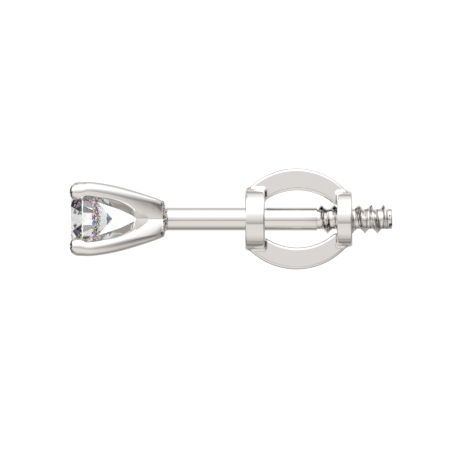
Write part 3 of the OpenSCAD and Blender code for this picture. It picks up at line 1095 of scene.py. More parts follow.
@dataclass
class ClawSetting:
    """Four claws that grow out of a grooved base, with the straight post soldered to it."""

    groove_r: float = 0.696
    groove_slope: float = 0.13
    groove_floor: float = 0.022
    groove_edge: float = 0.052
    bulge: float = 0.16
    hollow: float = 0.08
    lip: float = 0.006
    tip_half: float = 1.610
    bead_r: float = 0.405
    dome_len: float = 0.387
    dome_drop: float = 0.025
    blunt: float = 0.86
    inner_w: float = 0.065
    crotch_share: float = 1.15
    part_at: float = 2.901
    nose_at: float = 3.444
    nose_len: float = 0.155
    nose_w: float = 0.2175
    nose_blunt: float = 0.55
    nose_bunching: float = 1.8
    base_end: float = 4.145
    rim_round: float = 0.075
    rim_shrink: float = 0.1
    face_at: float = 4.165
    fillet: float = 0.088
    post_r: float = 0.5
    shoulder: float = 0.02
    thread_start: float = 10.762
    core_r: float = 0.437
    stone_gap: float = 0.02
    claws: int = 4
    stone: Brilliant = field(default_factory=Brilliant)

    # number of faces along each part of a section
    ARC, FLAT, WALL, FLANK, BACK, POST = 12, 8, 4, 5, 3, 24
    # where the same parts start and end round the bead, in degrees
    BEAD_TURNS = (85, 105, 130, 157, 180)
    # where the claw's rows change their spacing
    SPACING_AT = (0.8, 2.6)
    # number of rows along the dome, the claw, the base, a rounded edge and the plain post
    DOME, CLAW, BASE, EDGE, PLAIN = 13, (12, 37, 12), (10, 9, 18), 7, 12

    @staticmethod
    def side(across: float | np.ndarray, depth: float | np.ndarray) -> np.ndarray:
        """Points given across from the groove's middle and in depth, along and across a claw."""
        return np.stack([across + depth, depth - across], axis=-1) / math.sqrt(2)

    @staticmethod
    def across_depth(point: np.ndarray) -> tuple[float, float]:
        """How far a point lies across from the groove's middle and in depth, the reverse of side."""
        return (point[0] - point[1]) / math.sqrt(2), (point[0] + point[1]) / math.sqrt(2)

    @staticmethod
    def circle(c: float, r: float, turn: float | np.ndarray) -> np.ndarray:
        """Points of a claw's corner circle at turns in radians, along and across the claw."""
        return np.stack([c * math.sqrt(2) + r * np.cos(turn), r * np.sin(turn)], axis=-1)

    @staticmethod
    def mirrored(half: np.ndarray, closed: bool) -> np.ndarray:
        """A whole section from its half, which starts in the middle of its outer side."""
        other = half[1 : -1 if closed else None][::-1] * (1, -1)
        return np.vstack([half, other]) if closed else np.vstack([other, half])

    @staticmethod
    def read(rows: np.ndarray, s: float) -> np.ndarray:
        """One table row, read between its stations."""
        return smooth_rows(rows, np.array([s]))[0]

    def tilt(self, s: float, c: float, r: float) -> float:
        """Slope at which the corner's circle runs into the bulging flank, whose foot is the groove."""
        floor = self.groove_r + self.groove_slope * (self.base_end - s)
        guess, rounds = 0.3, 30
        for _ in range(rounds):
            guess = math.atan((c + r * math.cos(guess) - floor) / (c - r * math.sin(guess)) - self.bulge)
        return guess

    def outline(self, s: float) -> tuple[float, float, float]:
        """Half-width, corner radius and notch edge of the outline at a station."""
        half, r, edge = map(float, self.read(OUTLINE, s))
        if s > HALF_FIT_FROM:
            half = float(np.polyval(HALF_FIT, s))
        if s > self.nose_at - self.nose_len:
            share = max(0.0, (self.nose_at - s) / self.nose_len)
            edge = max(self.groove_edge, self.nose_w * share**self.nose_blunt)
        return half, r, edge

    def clear(self, s: float, points: np.ndarray) -> np.ndarray:
        """Keeps a claw's section off the stone.

        Args:
            s: Station of the section.
            points: The section's points, along and across the claw.

        Returns:
            The points, moved outwards where they were too close.
        """
        gap_r = self.stone.diameter / 2 + self.stone_gap
        rim = np.sqrt(np.maximum(0, gap_r**2 - points[:, 1] ** 2))
        out = points.copy()
        out[:, 0] = np.maximum(points[:, 0], np.minimum(self.stone.reach(s) + self.stone_gap, rim))
        return out

    def outer(self, half: float, r: float, edge: float, tilt: float) -> tuple[np.ndarray, np.ndarray]:
        """The outer arc of half a claw, and the bulging flank from there to the notch's edge.

        Args:
            half: Half-width of the outline.
            r: Radius of its corner.
            edge: Where the notch's edge lies across from the groove's middle.
            tilt: Slope at which the arc runs into the flank.

        Returns:
            The points of the arc and of the flank.
        """
        c = half - r
        arc = self.circle(c, r, np.linspace(0, math.pi / 4 + tilt, self.ARC + 1))
        across, depth = c - r * math.sin(tilt), c + r * math.cos(tilt)
        gone = (across - min(edge, across - self.lip)) * np.linspace(0, 1, self.FLAT + 1)[1:]
        return arc, self.side(across - gone, depth - gone * math.tan(tilt) - self.bulge * gone**2 / across)

    def claw_half(self, s: float) -> np.ndarray:
        """Half of a claw's section, from its outer middle round to its inner middle."""
        half, r, edge = self.outline(s)
        crease, opening, bead = self.read(CLAW_SIDE, s)
        c = half - r
        wedge_tilt = min(self.tilt(s, c, r), math.asin(min(1.0, (c - crease - 2 * self.lip) / r)))
        tilt = bead * math.radians(self.BEAD_TURNS[0] - 45) + (1 - bead) * wedge_tilt
        arc, _ = self.outer(half, r, edge, tilt)
        wedge_arc, flank = self.outer(half, r, edge, wedge_tilt)
        across, depth = self.across_depth(flank[-1])
        fold_across = min(crease, across - self.lip)
        fold = self.side(fold_across, depth - (across - fold_across))
        inner = self.side(opening, opening + self.inner_w * math.sqrt(2))
        knots = [wedge_arc[-1], flank[-1], fold, inner, np.array([math.hypot(*inner), 0.0])]
        start = bead * self.circle(c, r, math.radians(self.BEAD_TURNS[0])) + (1 - bead) * wedge_arc[-1]
        rows = [arc]
        for i, n in enumerate((self.FLAT, self.WALL, self.FLANK, self.BACK)):
            t = np.linspace(0, 1, n + 1)[1:]
            turn = np.radians(self.BEAD_TURNS[i] * (1 - t) + self.BEAD_TURNS[i + 1] * t)
            t = t[:, None]
            wedge = knots[i] * (1 - t) + knots[i + 1] * t if i else flank
            rows.append(bead * self.circle(c, r, turn) + (1 - bead) * wedge)
            if i == 0:
                rows[-1] += (1 - t) * (arc[-1] - start)
        return np.vstack(rows)

    def dome_middle(self, u: float) -> float:
        """How far the bead's middle lies from its corner's foot where its dome has closed by the angle u."""
        return self.tip_half - self.bead_r - self.dome_drop * math.sin(u)

    def dome_half(self, u: float) -> np.ndarray:
        """Half of the bead's section where its dome has closed by the angle u."""
        stops = zip(self.BEAD_TURNS, self.BEAD_TURNS[1:], (self.FLAT, self.WALL, self.FLANK, self.BACK))
        parts = [np.linspace(0, self.BEAD_TURNS[0], self.ARC + 1)]
        parts += [np.linspace(lo, hi, n + 1)[1:] for lo, hi, n in stops]
        r = self.bead_r * math.cos(u) ** self.blunt
        return self.circle(self.dome_middle(u), r, np.radians(np.concatenate(parts)))

    def base_half(self, s: float, size: float) -> np.ndarray:
        """Half of a base lobe's section.

        Args:
            s: Its station.
            size: Its share of the full size.

        Returns:
            The points, from its outer middle to the groove's floor.
        """
        half, r, edge = self.outline(s)
        tilt = self.tilt(s, half - r, r)
        arc, flank = self.outer(half, r, edge, tilt)
        across, depth = self.across_depth(flank[-1])
        steep = 1.0 if s < self.nose_at - TINY else math.tan(tilt) + 2 * self.bulge
        wide = across - self.groove_floor
        w = np.linspace(0, 1, self.WALL)[1:]
        wall = self.side(across - wide * w, depth - wide * w * (steep + self.hollow * (1 - w)))
        return np.vstack([arc, flank, wall, self.side(0.0, depth - wide * steep)]) * size

    def add_claw(self, shell: Shell) -> None:
        """Adds the claw, from the tip of its dome to the crotch where it joins the base."""
        tip = shell.row(0.0, np.array([[self.dome_middle(math.pi / 2) * math.sqrt(2), 0.0]]))[0]
        rings = []
        for u in np.radians(np.linspace(90, 0, self.DOME)[1:-1]):
            s = self.dome_len * (1 - math.sin(u) ** self.blunt)
            rings.append(shell.row(s, self.mirrored(self.dome_half(u), True)))
        ends = (self.dome_len, *self.SPACING_AT, CLAW_SIDE[-1, 0])
        stations = [self.dome_len]
        for low, high, n in zip(ends, ends[1:], self.CLAW):
            stations.extend(np.linspace(low, high, n)[1:])
        for s in stations:
            rings.append(shell.row(s, self.clear(s, self.mirrored(self.claw_half(s), True))))
        first = self.base_half(self.part_at, 1.0)
        corner = self.inner_w * math.sqrt(2)
        throat, middle = self.side(0.0, corner), np.array([corner * self.crotch_share, 0.0])
        t, w = (np.linspace(0, 1, n + 1)[1:, None] for n in (self.FLANK, self.BACK))
        inner = [first[-1] * (1 - t) + throat * t, throat * (1 - w) + middle * w]
        rings.append(shell.row(self.part_at, self.mirrored(np.vstack([first, *inner]), True)))
        shell.cover(rings, True)
        around = rings[0]
        shell.faces.extend((tip, a, b) for a, b in zip(around, around[1:] + around[:1]))
        centre = shell.row(self.part_at, np.array([[0.0, 0.0]]))[0]
        n = self.ARC + self.FLAT + self.WALL + self.FLANK
        shell.faces.append((centre, *rings[-1][n : n + 2 * self.BACK + 1]))

    def add_base(self, shell: Shell) -> list[int]:
        """Adds a quarter of the base up to its rounded rim, and gives its last row."""
        front, bunched, rear = self.BASE
        nose = self.nose_at - self.nose_len * (1 - np.linspace(0, 1, bunched)) ** self.nose_bunching
        before = np.linspace(self.part_at, nose[0], front)[:-1]
        behind = np.linspace(self.nose_at, self.base_end - self.rim_round, rear)[1:]
        sizes = [(s, 1.0) for s in (*before, *nose, *behind)]
        for u in np.radians(np.linspace(0, 90, self.EDGE)[1:]):
            s = self.base_end - self.rim_round * (1 - math.sin(u))
            sizes.append((s, 1 - self.rim_shrink * (1 - math.cos(u))))
        rows = [shell.row(s, self.mirrored(self.base_half(s, size), False)) for s, size in sizes]
        shell.cover(rows, False)
        return rows[-1]

    def add_post(self, shell: Shell) -> list[int]:
        """Adds a quarter of the solder fillet and the post, and gives its first row."""
        fillet_r = self.post_r + self.fillet
        shoulder_at = self.thread_start - self.shoulder
        sizes = [(self.face_at, fillet_r)]
        for u in np.radians(np.linspace(0, 90, self.EDGE)[1:]):
            sizes.append((self.face_at + self.fillet * (1 - math.cos(u)), fillet_r - self.fillet * math.sin(u)))
        plain = np.linspace(self.face_at + self.fillet, shoulder_at, self.PLAIN)[1:]
        sizes += [(s, self.post_r) for s in plain]
        for u in np.radians((30, 60, 90)):
            r = self.post_r - self.shoulder * (1 - math.cos(u))
            sizes.append((shoulder_at + self.shoulder * math.sin(u), r))
        sizes.append((self.thread_start, self.core_r))
        angles = np.linspace(-LANE, LANE, self.POST + 1)
        rows = [shell.row(s, self.circle(0.0, r, angles)) for s, r in sizes]
        shell.cover(rows, False)
        return rows[0]

    def repeat_tree(self) -> NodeTree:
        """Geometry nodes that set copies of a piece round the post and weld their seams."""
        takes = {"Geometry": Kind.GEOMETRY, "Copies": self.claws, "Weld": WELD, "Material": Kind.MATERIAL}
        tree, start, end = new_group("round_the_post", "GeometryNodeTree", takes, {"Geometry": Kind.GEOMETRY})
        given = start.outputs
        spots = add_node(tree, "GeometryNodePoints", {"Count": given["Copies"]})
        number = add_node(tree, "GeometryNodeInputIndex")
        angle = math_node(tree, "DIVIDE", math.tau, given["Copies"])
        angle = math_node(tree, "MULTIPLY", angle, number.outputs[0])
        about = add_node(tree, "ShaderNodeCombineXYZ", {"X": angle})
        copies = add_node(
            tree,
            "GeometryNodeInstanceOnPoints",
            {"Points": spots.outputs[0], "Instance": given["Geometry"], "Rotation": about.outputs[0]},
        )
        real = add_node(tree, "GeometryNodeRealizeInstances", {0: copies.outputs[0]})
        seams = add_node(
            tree, "GeometryNodeMergeByDistance", {"Geometry": real.outputs[0], "Distance": given["Weld"]}
        )
        paint = add_node(
            tree, "GeometryNodeSetMaterial", {"Geometry": seams.outputs[0], "Material": given["Material"]}
        )
        feed(tree, end, {0: paint.outputs[0]})
        return tree

    def build(self, metal: Material) -> Object:
        """Makes the claws, the base and the plain post as one open-ended mesh.

        Args:
            metal: The finish.

        Returns:
            The object, in the earring's own frame.
        """
        quarter = Shell()
        self.add_claw(quarter)
        rim = self.add_base(quarter)
        quarter.join(rim, self.add_post(quarter))
        thing = mesh_object("setting_and_post", np.array(quarter.points), quarter.faces)
        return run_tree(thing, self.repeat_tree(), {"Copies": self.claws, "Weld": WELD, "Material": metal})


@dataclass
class ScrewThread:
    """The coarse thread on the free end of the post, with its plain stub."""

    core_r: float = 0.437
    crest_r: float = 0.635
    pitch: float = 0.54
    start: float = 10.762
    end: float = 14.04
    crest_at: float = 10.958
    flank: float = 0.216
    flank_curve: float = 1.5
    run_in: float = 0.14
    run_out_at: float = 13.66
    run_out: float = 0.2
    end_round: float = 0.07
    rows_a_turn: int = 24
    segments: int = 96

    def sizes(self) -> dict[str, float | int]:
        """The value of each named input of the tree."""
        step = self.pitch / self.rows_a_turn
        turns_back = math.ceil((self.crest_at - self.start + self.pitch) / self.pitch)
        first = self.crest_at - turns_back * self.pitch
        rows = math.ceil((self.end - first) / step) + 1
        return {
            "Core Radius": self.core_r,
            "Crest Radius": self.crest_r,
            "Pitch": self.pitch,
            "Start": self.start,
            "End": self.end,
            "Crest At": self.crest_at,
            "First Row At": first,
            "Rows Length": (rows - 1) * step,
            "Flank": self.flank,
            "Flank Curve": self.flank_curve,
            "Run In": self.run_in,
            "Run Out At": self.run_out_at,
            "Run Out": self.run_out,
            "End Round": self.end_round,
            "Weld": WELD,
            "Rows": rows,
            "Columns": self.segments + 1,
        }

    @staticmethod
    def tree(sizes: dict[str, float | int]) -> NodeTree:
        """Geometry nodes that bend a grid into the thread, with its rows along the helix.

        Args:
            sizes: The named inputs, with the values that they start with.

        Returns:
            The tree.
        """
        takes = {"Geometry": Kind.GEOMETRY, **sizes, "Material": Kind.MATERIAL}
        tree, start, end = new_group("screw_thread", "GeometryNodeTree", takes, {"Geometry": Kind.GEOMETRY})
        given = start.outputs

        def m(operation: str, *values: Value, clamp: bool = False) -> NodeSocket:
            """One Math node of this tree."""
            return math_node(tree, operation, *values, clamp=clamp)

        grid = add_node(
            tree,
            "GeometryNodeMeshGrid",
            {"Size X": 1.0, "Size Y": 1.0, "Vertices X": given["Rows"], "Vertices Y": given["Columns"]},
        )
        here = add_node(tree, "GeometryNodeInputPosition").outputs[0]
        here = add_node(tree, "ShaderNodeSeparateXYZ", {0: here}).outputs
        along, round_share = m("ADD", here["X"], 0.5), m("ADD", here["Y"], 0.5)
        s = m("MULTIPLY_ADD", along, given["Rows Length"], given["First Row At"])
        s = m("MULTIPLY_ADD", round_share, given["Pitch"], s)
        s = m("MINIMUM", m("MAXIMUM", s, given["Start"]), given["End"])
        phase = m("DIVIDE", m("SUBTRACT", s, given["Crest At"]), given["Pitch"])
        off = m("PINGPONG", m("SUBTRACT", phase, round_share), 0.5)
        off = m("DIVIDE", m("MULTIPLY", off, given["Pitch"]), given["Flank"])
        ridge = m("POWER", m("SUBTRACT", 1.0, off, clamp=True), given["Flank Curve"])
        fade_in = m("DIVIDE", m("SUBTRACT", s, given["Start"]), given["Run In"], clamp=True)
        fade_out = m("SUBTRACT", m("ADD", given["Run Out At"], given["Run Out"]), s)
        fade_out = m("DIVIDE", fade_out, given["Run Out"], clamp=True)
        ridge = m("MULTIPLY", ridge, m("MULTIPLY", fade_in, fade_out))
        height = m("SUBTRACT", given["Crest Radius"], given["Core Radius"])
        r = m("MULTIPLY_ADD", ridge, height, given["Core Radius"])
        past = m("ADD", m("SUBTRACT", s, given["End"]), given["End Round"])
        past = m("DIVIDE", past, given["End Round"], clamp=True)
        bend = m("SQRT", m("SUBTRACT", 1.0, m("MULTIPLY", past, past), clamp=True))
        r = m("SUBTRACT", r, m("MULTIPLY", m("SUBTRACT", 1.0, bend), given["End Round"]))
        angle = m("MULTIPLY", round_share, math.tau)
        place = add_node(
            tree,
            "ShaderNodeCombineXYZ",
            {"X": s, "Y": m("MULTIPLY", r, m("COSINE", angle)), "Z": m("MULTIPLY", r, m("SINE", angle))},
        )
        move = add_node(
            tree, "GeometryNodeSetPosition", {"Geometry": grid.outputs["Mesh"], "Position": place.outputs[0]}
        )
        seams = add_node(
            tree, "GeometryNodeMergeByDistance", {"Geometry": move.outputs[0], "Distance": given["Weld"]}
        )
        real = add_node(tree, "GeometryNodeRealizeInstances", {0: seams.outputs[0]})
        paint = add_node(
            tree, "GeometryNodeSetMaterial", {"Geometry": real.outputs[0], "Material": given["Material"]}
        )
        feed(tree, end, {0: paint.outputs[0]})
        return tree

    def build(self, metal: Material) -> Object:
        """Makes the thread and the stub.

        Args:
            metal: The finish.

        Returns:
            The object, in the earring's own frame, open at both ends.
        """
        sizes = self.sizes()
        thing = mesh_object("thread", np.zeros((1, 3)), [])
        return run_tree(thing, self.tree(sizes), {**sizes, "Material": metal})


@dataclass
class ScrewNut:
    """The nut: two discs on the post, joined by a flat oval ring whose legs flow into them."""

    at: float = 7.643
    front_r: float = 1.335
    front_t: float = 0.848
    rear_r: float = 1.2
    rear_t: float = 0.666
    spacing: float = 3.989
    disc_edge: float = 0.08
    bore_r: float = 0.67
    bore_edge: float = 0.04
    ring_reach: float = 2.199
    outer_arc: float = 2.932
    opening_reach: float = 1.244
    inner_arc: float = 2.436
    ring_middle: float = 1.766
    opening_shift: float = 0.039
    ring_t: float = 0.61
    ring_edge: float = 0.12
    leg_inset: float = 0.1
    fillet: float = 0.13
    cell: float = 0.045
    margin: float = 0.1
    passes: int = 8
    evening_passes: int = 5

    @staticmethod
    def rounded(a: np.ndarray, b: np.ndarray, r: float) -> np.ndarray:
        """Distance from what two shapes share, with a round edge of radius r where they meet."""
        return np.hypot(np.maximum(a, 0), np.maximum(b, 0)) + np.minimum(np.maximum(a, b), 0) - r

    def disc(self, p: np.ndarray, start: float, t: float, r: float) -> np.ndarray:
        """Distance from a disc with a rounded rim.

        Args:
            p: The points, from the nut's front face.
            start: Where the disc starts along the post.
            t: Its thickness.
            r: Its radius.

        Returns:
            The distance at each point, negative inside.
        """
        e = self.disc_edge
        along = np.abs(p[:, 0] - start - t / 2) - (t / 2 - e)
        return self.rounded(along, np.hypot(p[:, 1], p[:, 2]) - (r - e), e)

    def legs(self, p: np.ndarray) -> np.ndarray:
        """Distance from the two legs of the flat ring, which mirror each other."""
        e = self.ring_edge
        middle = self.spacing - self.ring_middle
        x, y, z = p[:, 0] - middle, np.abs(p[:, 1]), np.abs(p[:, 2]) - (self.ring_t / 2 - e)
        outer = np.hypot(x, y - (self.ring_reach - self.outer_arc)) - (self.outer_arc - e)
        opening = np.hypot(x - self.opening_shift, y - (self.opening_reach - self.inner_arc))
        plate = self.rounded(np.maximum(outer, self.inner_arc + e - opening), z, e)
        half = (self.spacing + self.rear_t) / 2
        return np.maximum(plate, np.abs(p[:, 0] - half) - (half - self.leg_inset))

    @staticmethod
    def blend(a: np.ndarray, b: np.ndarray, r: float) -> np.ndarray:
        """Distance from two shapes joined with a hollow rounding of radius r."""
        return np.maximum(r, np.minimum(a, b)) - np.hypot(np.maximum(r - a, 0), np.maximum(r - b, 0))

    def distance(self, p: np.ndarray) -> np.ndarray:
        """Distance from the whole nut at each point, negative inside."""
        front = self.disc(p, 0.0, self.front_t, self.front_r)
        rear = self.disc(p, self.spacing, self.rear_t, self.rear_r)
        body = self.blend(self.blend(self.legs(p), front, self.fillet), rear, self.fillet)
        bore = np.hypot(p[:, 1], p[:, 2]) - self.bore_r
        r = self.bore_edge
        edge = np.hypot(np.maximum(r + body, 0), np.maximum(r - bore, 0))
        return np.minimum(-r, np.maximum(body, -bore)) + edge

    def slope(self, p: np.ndarray) -> np.ndarray:
        """The outward direction of the distance at each point, of length one."""
        step, least = 1e-4, 1e-12
        rise = [self.distance(p + d) - self.distance(p - d) for d in np.eye(3) * step]
        g = np.stack(rise, axis=1)
        return g / np.maximum(np.linalg.norm(g, axis=1, keepdims=True), least)

    @staticmethod
    def crossings(value: np.ndarray) -> tuple[np.ndarray, np.ndarray]:
        """Finds where the surface crosses the edges of each cell of a grid.

        Args:
            value: The distance at each point of the grid.

        Returns:
            The sum of the places of each cell's crossings, from its first corner, and their number.
        """
        cells = tuple(n - 1 for n in value.shape)
        total, number = np.zeros((*cells, 3)), np.zeros(cells)
        for axis in range(3):
            for corner in ((0, 0), (0, 1), (1, 0), (1, 1)):
                near, far = np.insert(corner, axis, 0), np.insert(corner, axis, 1)
                a, b = (value[tuple(slice(o, o + n) for o, n in zip(c, cells))] for c in (near, far))
                cross = (a < 0) != (b < 0)
                share = np.where(cross, a / np.where(cross, a - b, 1.0), 0.0)
                spot = near + share[..., None] * (far - near)
                total += np.where(cross[..., None], spot, 0.0)
                number += cross
        return total, number

    @staticmethod
    def walls(inside: np.ndarray, number: np.ndarray) -> np.ndarray:
        """Makes one four-sided face round each edge of the grid that the surface crosses.

        Args:
            inside: Whether each point of the grid is inside the nut.
            number: The number of each cell's point.

        Returns:
            The faces.
        """
        quads = []
        for axis in range(3):
            lower, upper = [slice(None)] * 3, [slice(None)] * 3
            lower[axis], upper[axis] = slice(0, -1), slice(1, None)
            change = inside[tuple(lower)] != inside[tuple(upper)]
            grow = inside[tuple(lower)][change]
            ring = []
            for du, dv in ((0, 0), (1, 0), (1, 1), (0, 1)):
                cell = np.argwhere(change)
                cell[:, (axis + 1) % 3] -= du
                cell[:, (axis + 2) % 3] -= dv
                ring.append(number[tuple(cell.T)])
            ring = np.stack(ring, axis=1)
            ring[~grow] = ring[~grow][:, ::-1]
            quads.append(ring)
        return np.vstack(quads)

    def skin(self) -> tuple[np.ndarray, np.ndarray]:
        """Wraps the nut in four-sided faces, one point to each cell of a grid that its surface crosses.

        Returns:
            The points and the faces.
        """
        edge = self.margin
        high = np.array([edge + self.spacing + self.rear_t, self.ring_reach + edge, self.front_r + edge])
        low = np.array([-edge, -high[1], -high[2]])
        count = np.ceil((high - low) / self.cell).astype(int) + 1
        low = (low + high) / 2 - (count - 1) * self.cell / 2
        axes = [start + self.cell * np.arange(n) for start, n in zip(low, count)]
        spots = np.stack(np.meshgrid(*axes, indexing="ij"), -1)
        value = self.distance(spots.reshape(-1, 3)).reshape(count)
        total, crossed = self.crossings(value)
        used = crossed > 0
        number = np.full(used.shape, -1)
        number[used] = np.arange(used.sum())
        points = low + self.cell * (np.argwhere(used) + total[used] / crossed[used][:, None])
        return points, self.walls(value < 0, number)

    def settle(self, points: np.ndarray, quads: np.ndarray) -> np.ndarray:
        """Evens the points out along the surface and lays them exactly on it.

        Args:
            points: The skin's points.
            quads: Its faces.

        Returns:
            The points in their final places.
        """
        pairs = np.vstack([quads[:, [i, (i + 1) % 4]] for i in range(4)])
        pairs = np.unique(np.sort(pairs, axis=1), axis=0)
        for turn in range(self.passes):
            if turn < self.evening_passes:
                total, n = np.zeros_like(points), np.zeros(len(points))
                for a, b in (pairs.T, pairs.T[::-1]):
                    np.add.at(total, a, points[b])
                    np.add.at(n, a, 1)
                points = 0.5 * points + 0.5 * total / n[:, None]
            points = points - self.slope(points) * self.distance(points)[:, None]
        return points

    def build(self, metal: Material) -> Object:
        """Makes the nut.

        Args:
            metal: The finish.

        Returns:
            The nut's object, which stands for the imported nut.
        """
        points, quads = self.skin()
        points = self.settle(points, quads)
        normals = self.slope(points)
        thing = mesh_object("nut", points + (self.at, 0, 0), [tuple(map(int, q)) for q in quads])
        put_at_rest(thing, 180)
        turn = np.array(REST.matrix().to_3x3()) / MM
        thing.data.normals_split_custom_set_from_vertices([tuple(n) for n in normals @ turn.T])
        thing.data.materials.append(metal)
        return dress(thing, Body.NUT, "screw_nut")


def dress(thing: Object, body: Body, node: str) -> Object:
    """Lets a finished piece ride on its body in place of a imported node.

    Args:
        thing: The finished piece.
        body: The body that it moves with.
        node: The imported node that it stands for.

    Returns:
        The same piece.
    """
    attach(thing, body.value)
    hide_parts(node)
    return thing


CREASE_DEG = 32
BASE_CREASE_DEG = 9
BASE_STRETCH = (2.88, 4.05)


def join_metal(setting: Object, thread: Object) -> Object:
    """Joins the setting and the thread into one closed mesh at rest on the floor.

    Args:
        setting: The claws, the base and the post.
        thread: The thread, which becomes part of it.

    Returns:
        The setting's object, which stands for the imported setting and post.
    """
    weld(setting, 2 * WELD, thread)
    log.info("closed %d open rim(s) of %s", close_holes(setting), setting.name)
    put_at_rest(setting, CREASE_DEG)
    sharpen(setting, *BASE_STRETCH, BASE_CREASE_DEG)
    return dress(setting, Body.EARRING, "setting_post")


# the studio


@dataclass(frozen=True)
class LightBand:
    """A band of light along the post, seen by the metal.

    The turn is counted round the post from straight above, towards +y. A level of 1 is white.
    """

    name: str
    start_deg: float
    end_deg: float
    start_level: float
    end_level: float
    warm: float = 0.0


@dataclass(frozen=True)
class Flag:
    """A dark card that dims the light round one direction.

    The direction is given by its turn round the post and its lean towards the threaded end.
    """

    name: str
    turn_deg: float
    lean_deg: float
    inner_deg: float
    outer_deg: float
    level: float


BANDS = (
    LightBand("back wall", -180, -152, 0.62, 0.38, 1.0),
    LightBand("low card", -146, -132, 0.44, 0.42, 1.0),
    LightBand("dark gap under the side card", -121, -114, 0.25, 0.20, 1.0),
    LightBand("strip under the side card", -106, -101, 0.36, 0.42, 1.0),
    LightBand("side card's frame", -97, -95, 0.30, 0.30, 1.0),
    LightBand("side card, lower half", -91, -72, 0.49, 0.65, 1.0),
    LightBand("side card, upper half", -62, -24, 0.72, 0.69, 1.0),
    LightBand("side card's edge", -20.5, -19, 0.63, 0.37, 0.4),
    LightBand("front screen, dark end", -17, -7, 0.40, 0.59, 0.3),
    LightBand("front screen, pale end", 0, 18, 0.69, 0.92, 0.2),
    LightBand("key softbox", 25, 80, 1.25, 1.25),
    LightBand("key softbox's fall-off", 89, 106, 0.92, 0.74),
    LightBand("dark gap behind the key", 116, 120, 0.40, 0.40, 0.3),
    LightBand("back card", 133, 146, 0.66, 0.68, 0.3),
    LightBand("back glow", 157, 180, 0.89, 0.83, 0.3),
)

FLAGS = (
    Flag("wide flag beyond the thread", -4, 65, 25, 70, 0.54),
    Flag("far flag beyond the thread", -2, 84, 45, 52, 0.82),
    Flag("narrow flag by the thread", -30, 37, 5, 17, 0.78),
    Flag("black card by the thread", 2, 53, 6, 9, 0.05),
    Flag("small card by the thread", -4, 40, 2, 6, 0.45),
    Flag("slit by the thread", -9, 38, 1, 4, 0.45),
    Flag("black card beyond the thread", 90, 84, 7, 11, 0.02),
    Flag("dark card under the crown", 180, -70, 16, 26, 0.35),
    Flag("black card above the stone's side", 147, -47, 7, 12, 0.02),
    Flag("black card beside the stone", 160, -44, 8, 22, 0.2),
    Flag("black card below the stone's side", -142, -45, 7, 12, 0.02),
    Flag("card behind the setting", 130, -14, 6, 13, 0.58),
    Flag("card under the key", 97, -17, 5, 11, 0.4),
)

STONE_FLAGS = (
    Flag("viewer's shade before the table", 0, -90, 14, 20, 0.1),
    Flag("card above the table", 0, -62, 8, 12, 0.35),
    Flag("card below the table", 180, -62, 8, 12, 0.35),
    Flag("card beside the table", 90, -62, 8, 12, 0.35),
    Flag("card on the table's far side", -90, -62, 8, 12, 0.35),
)


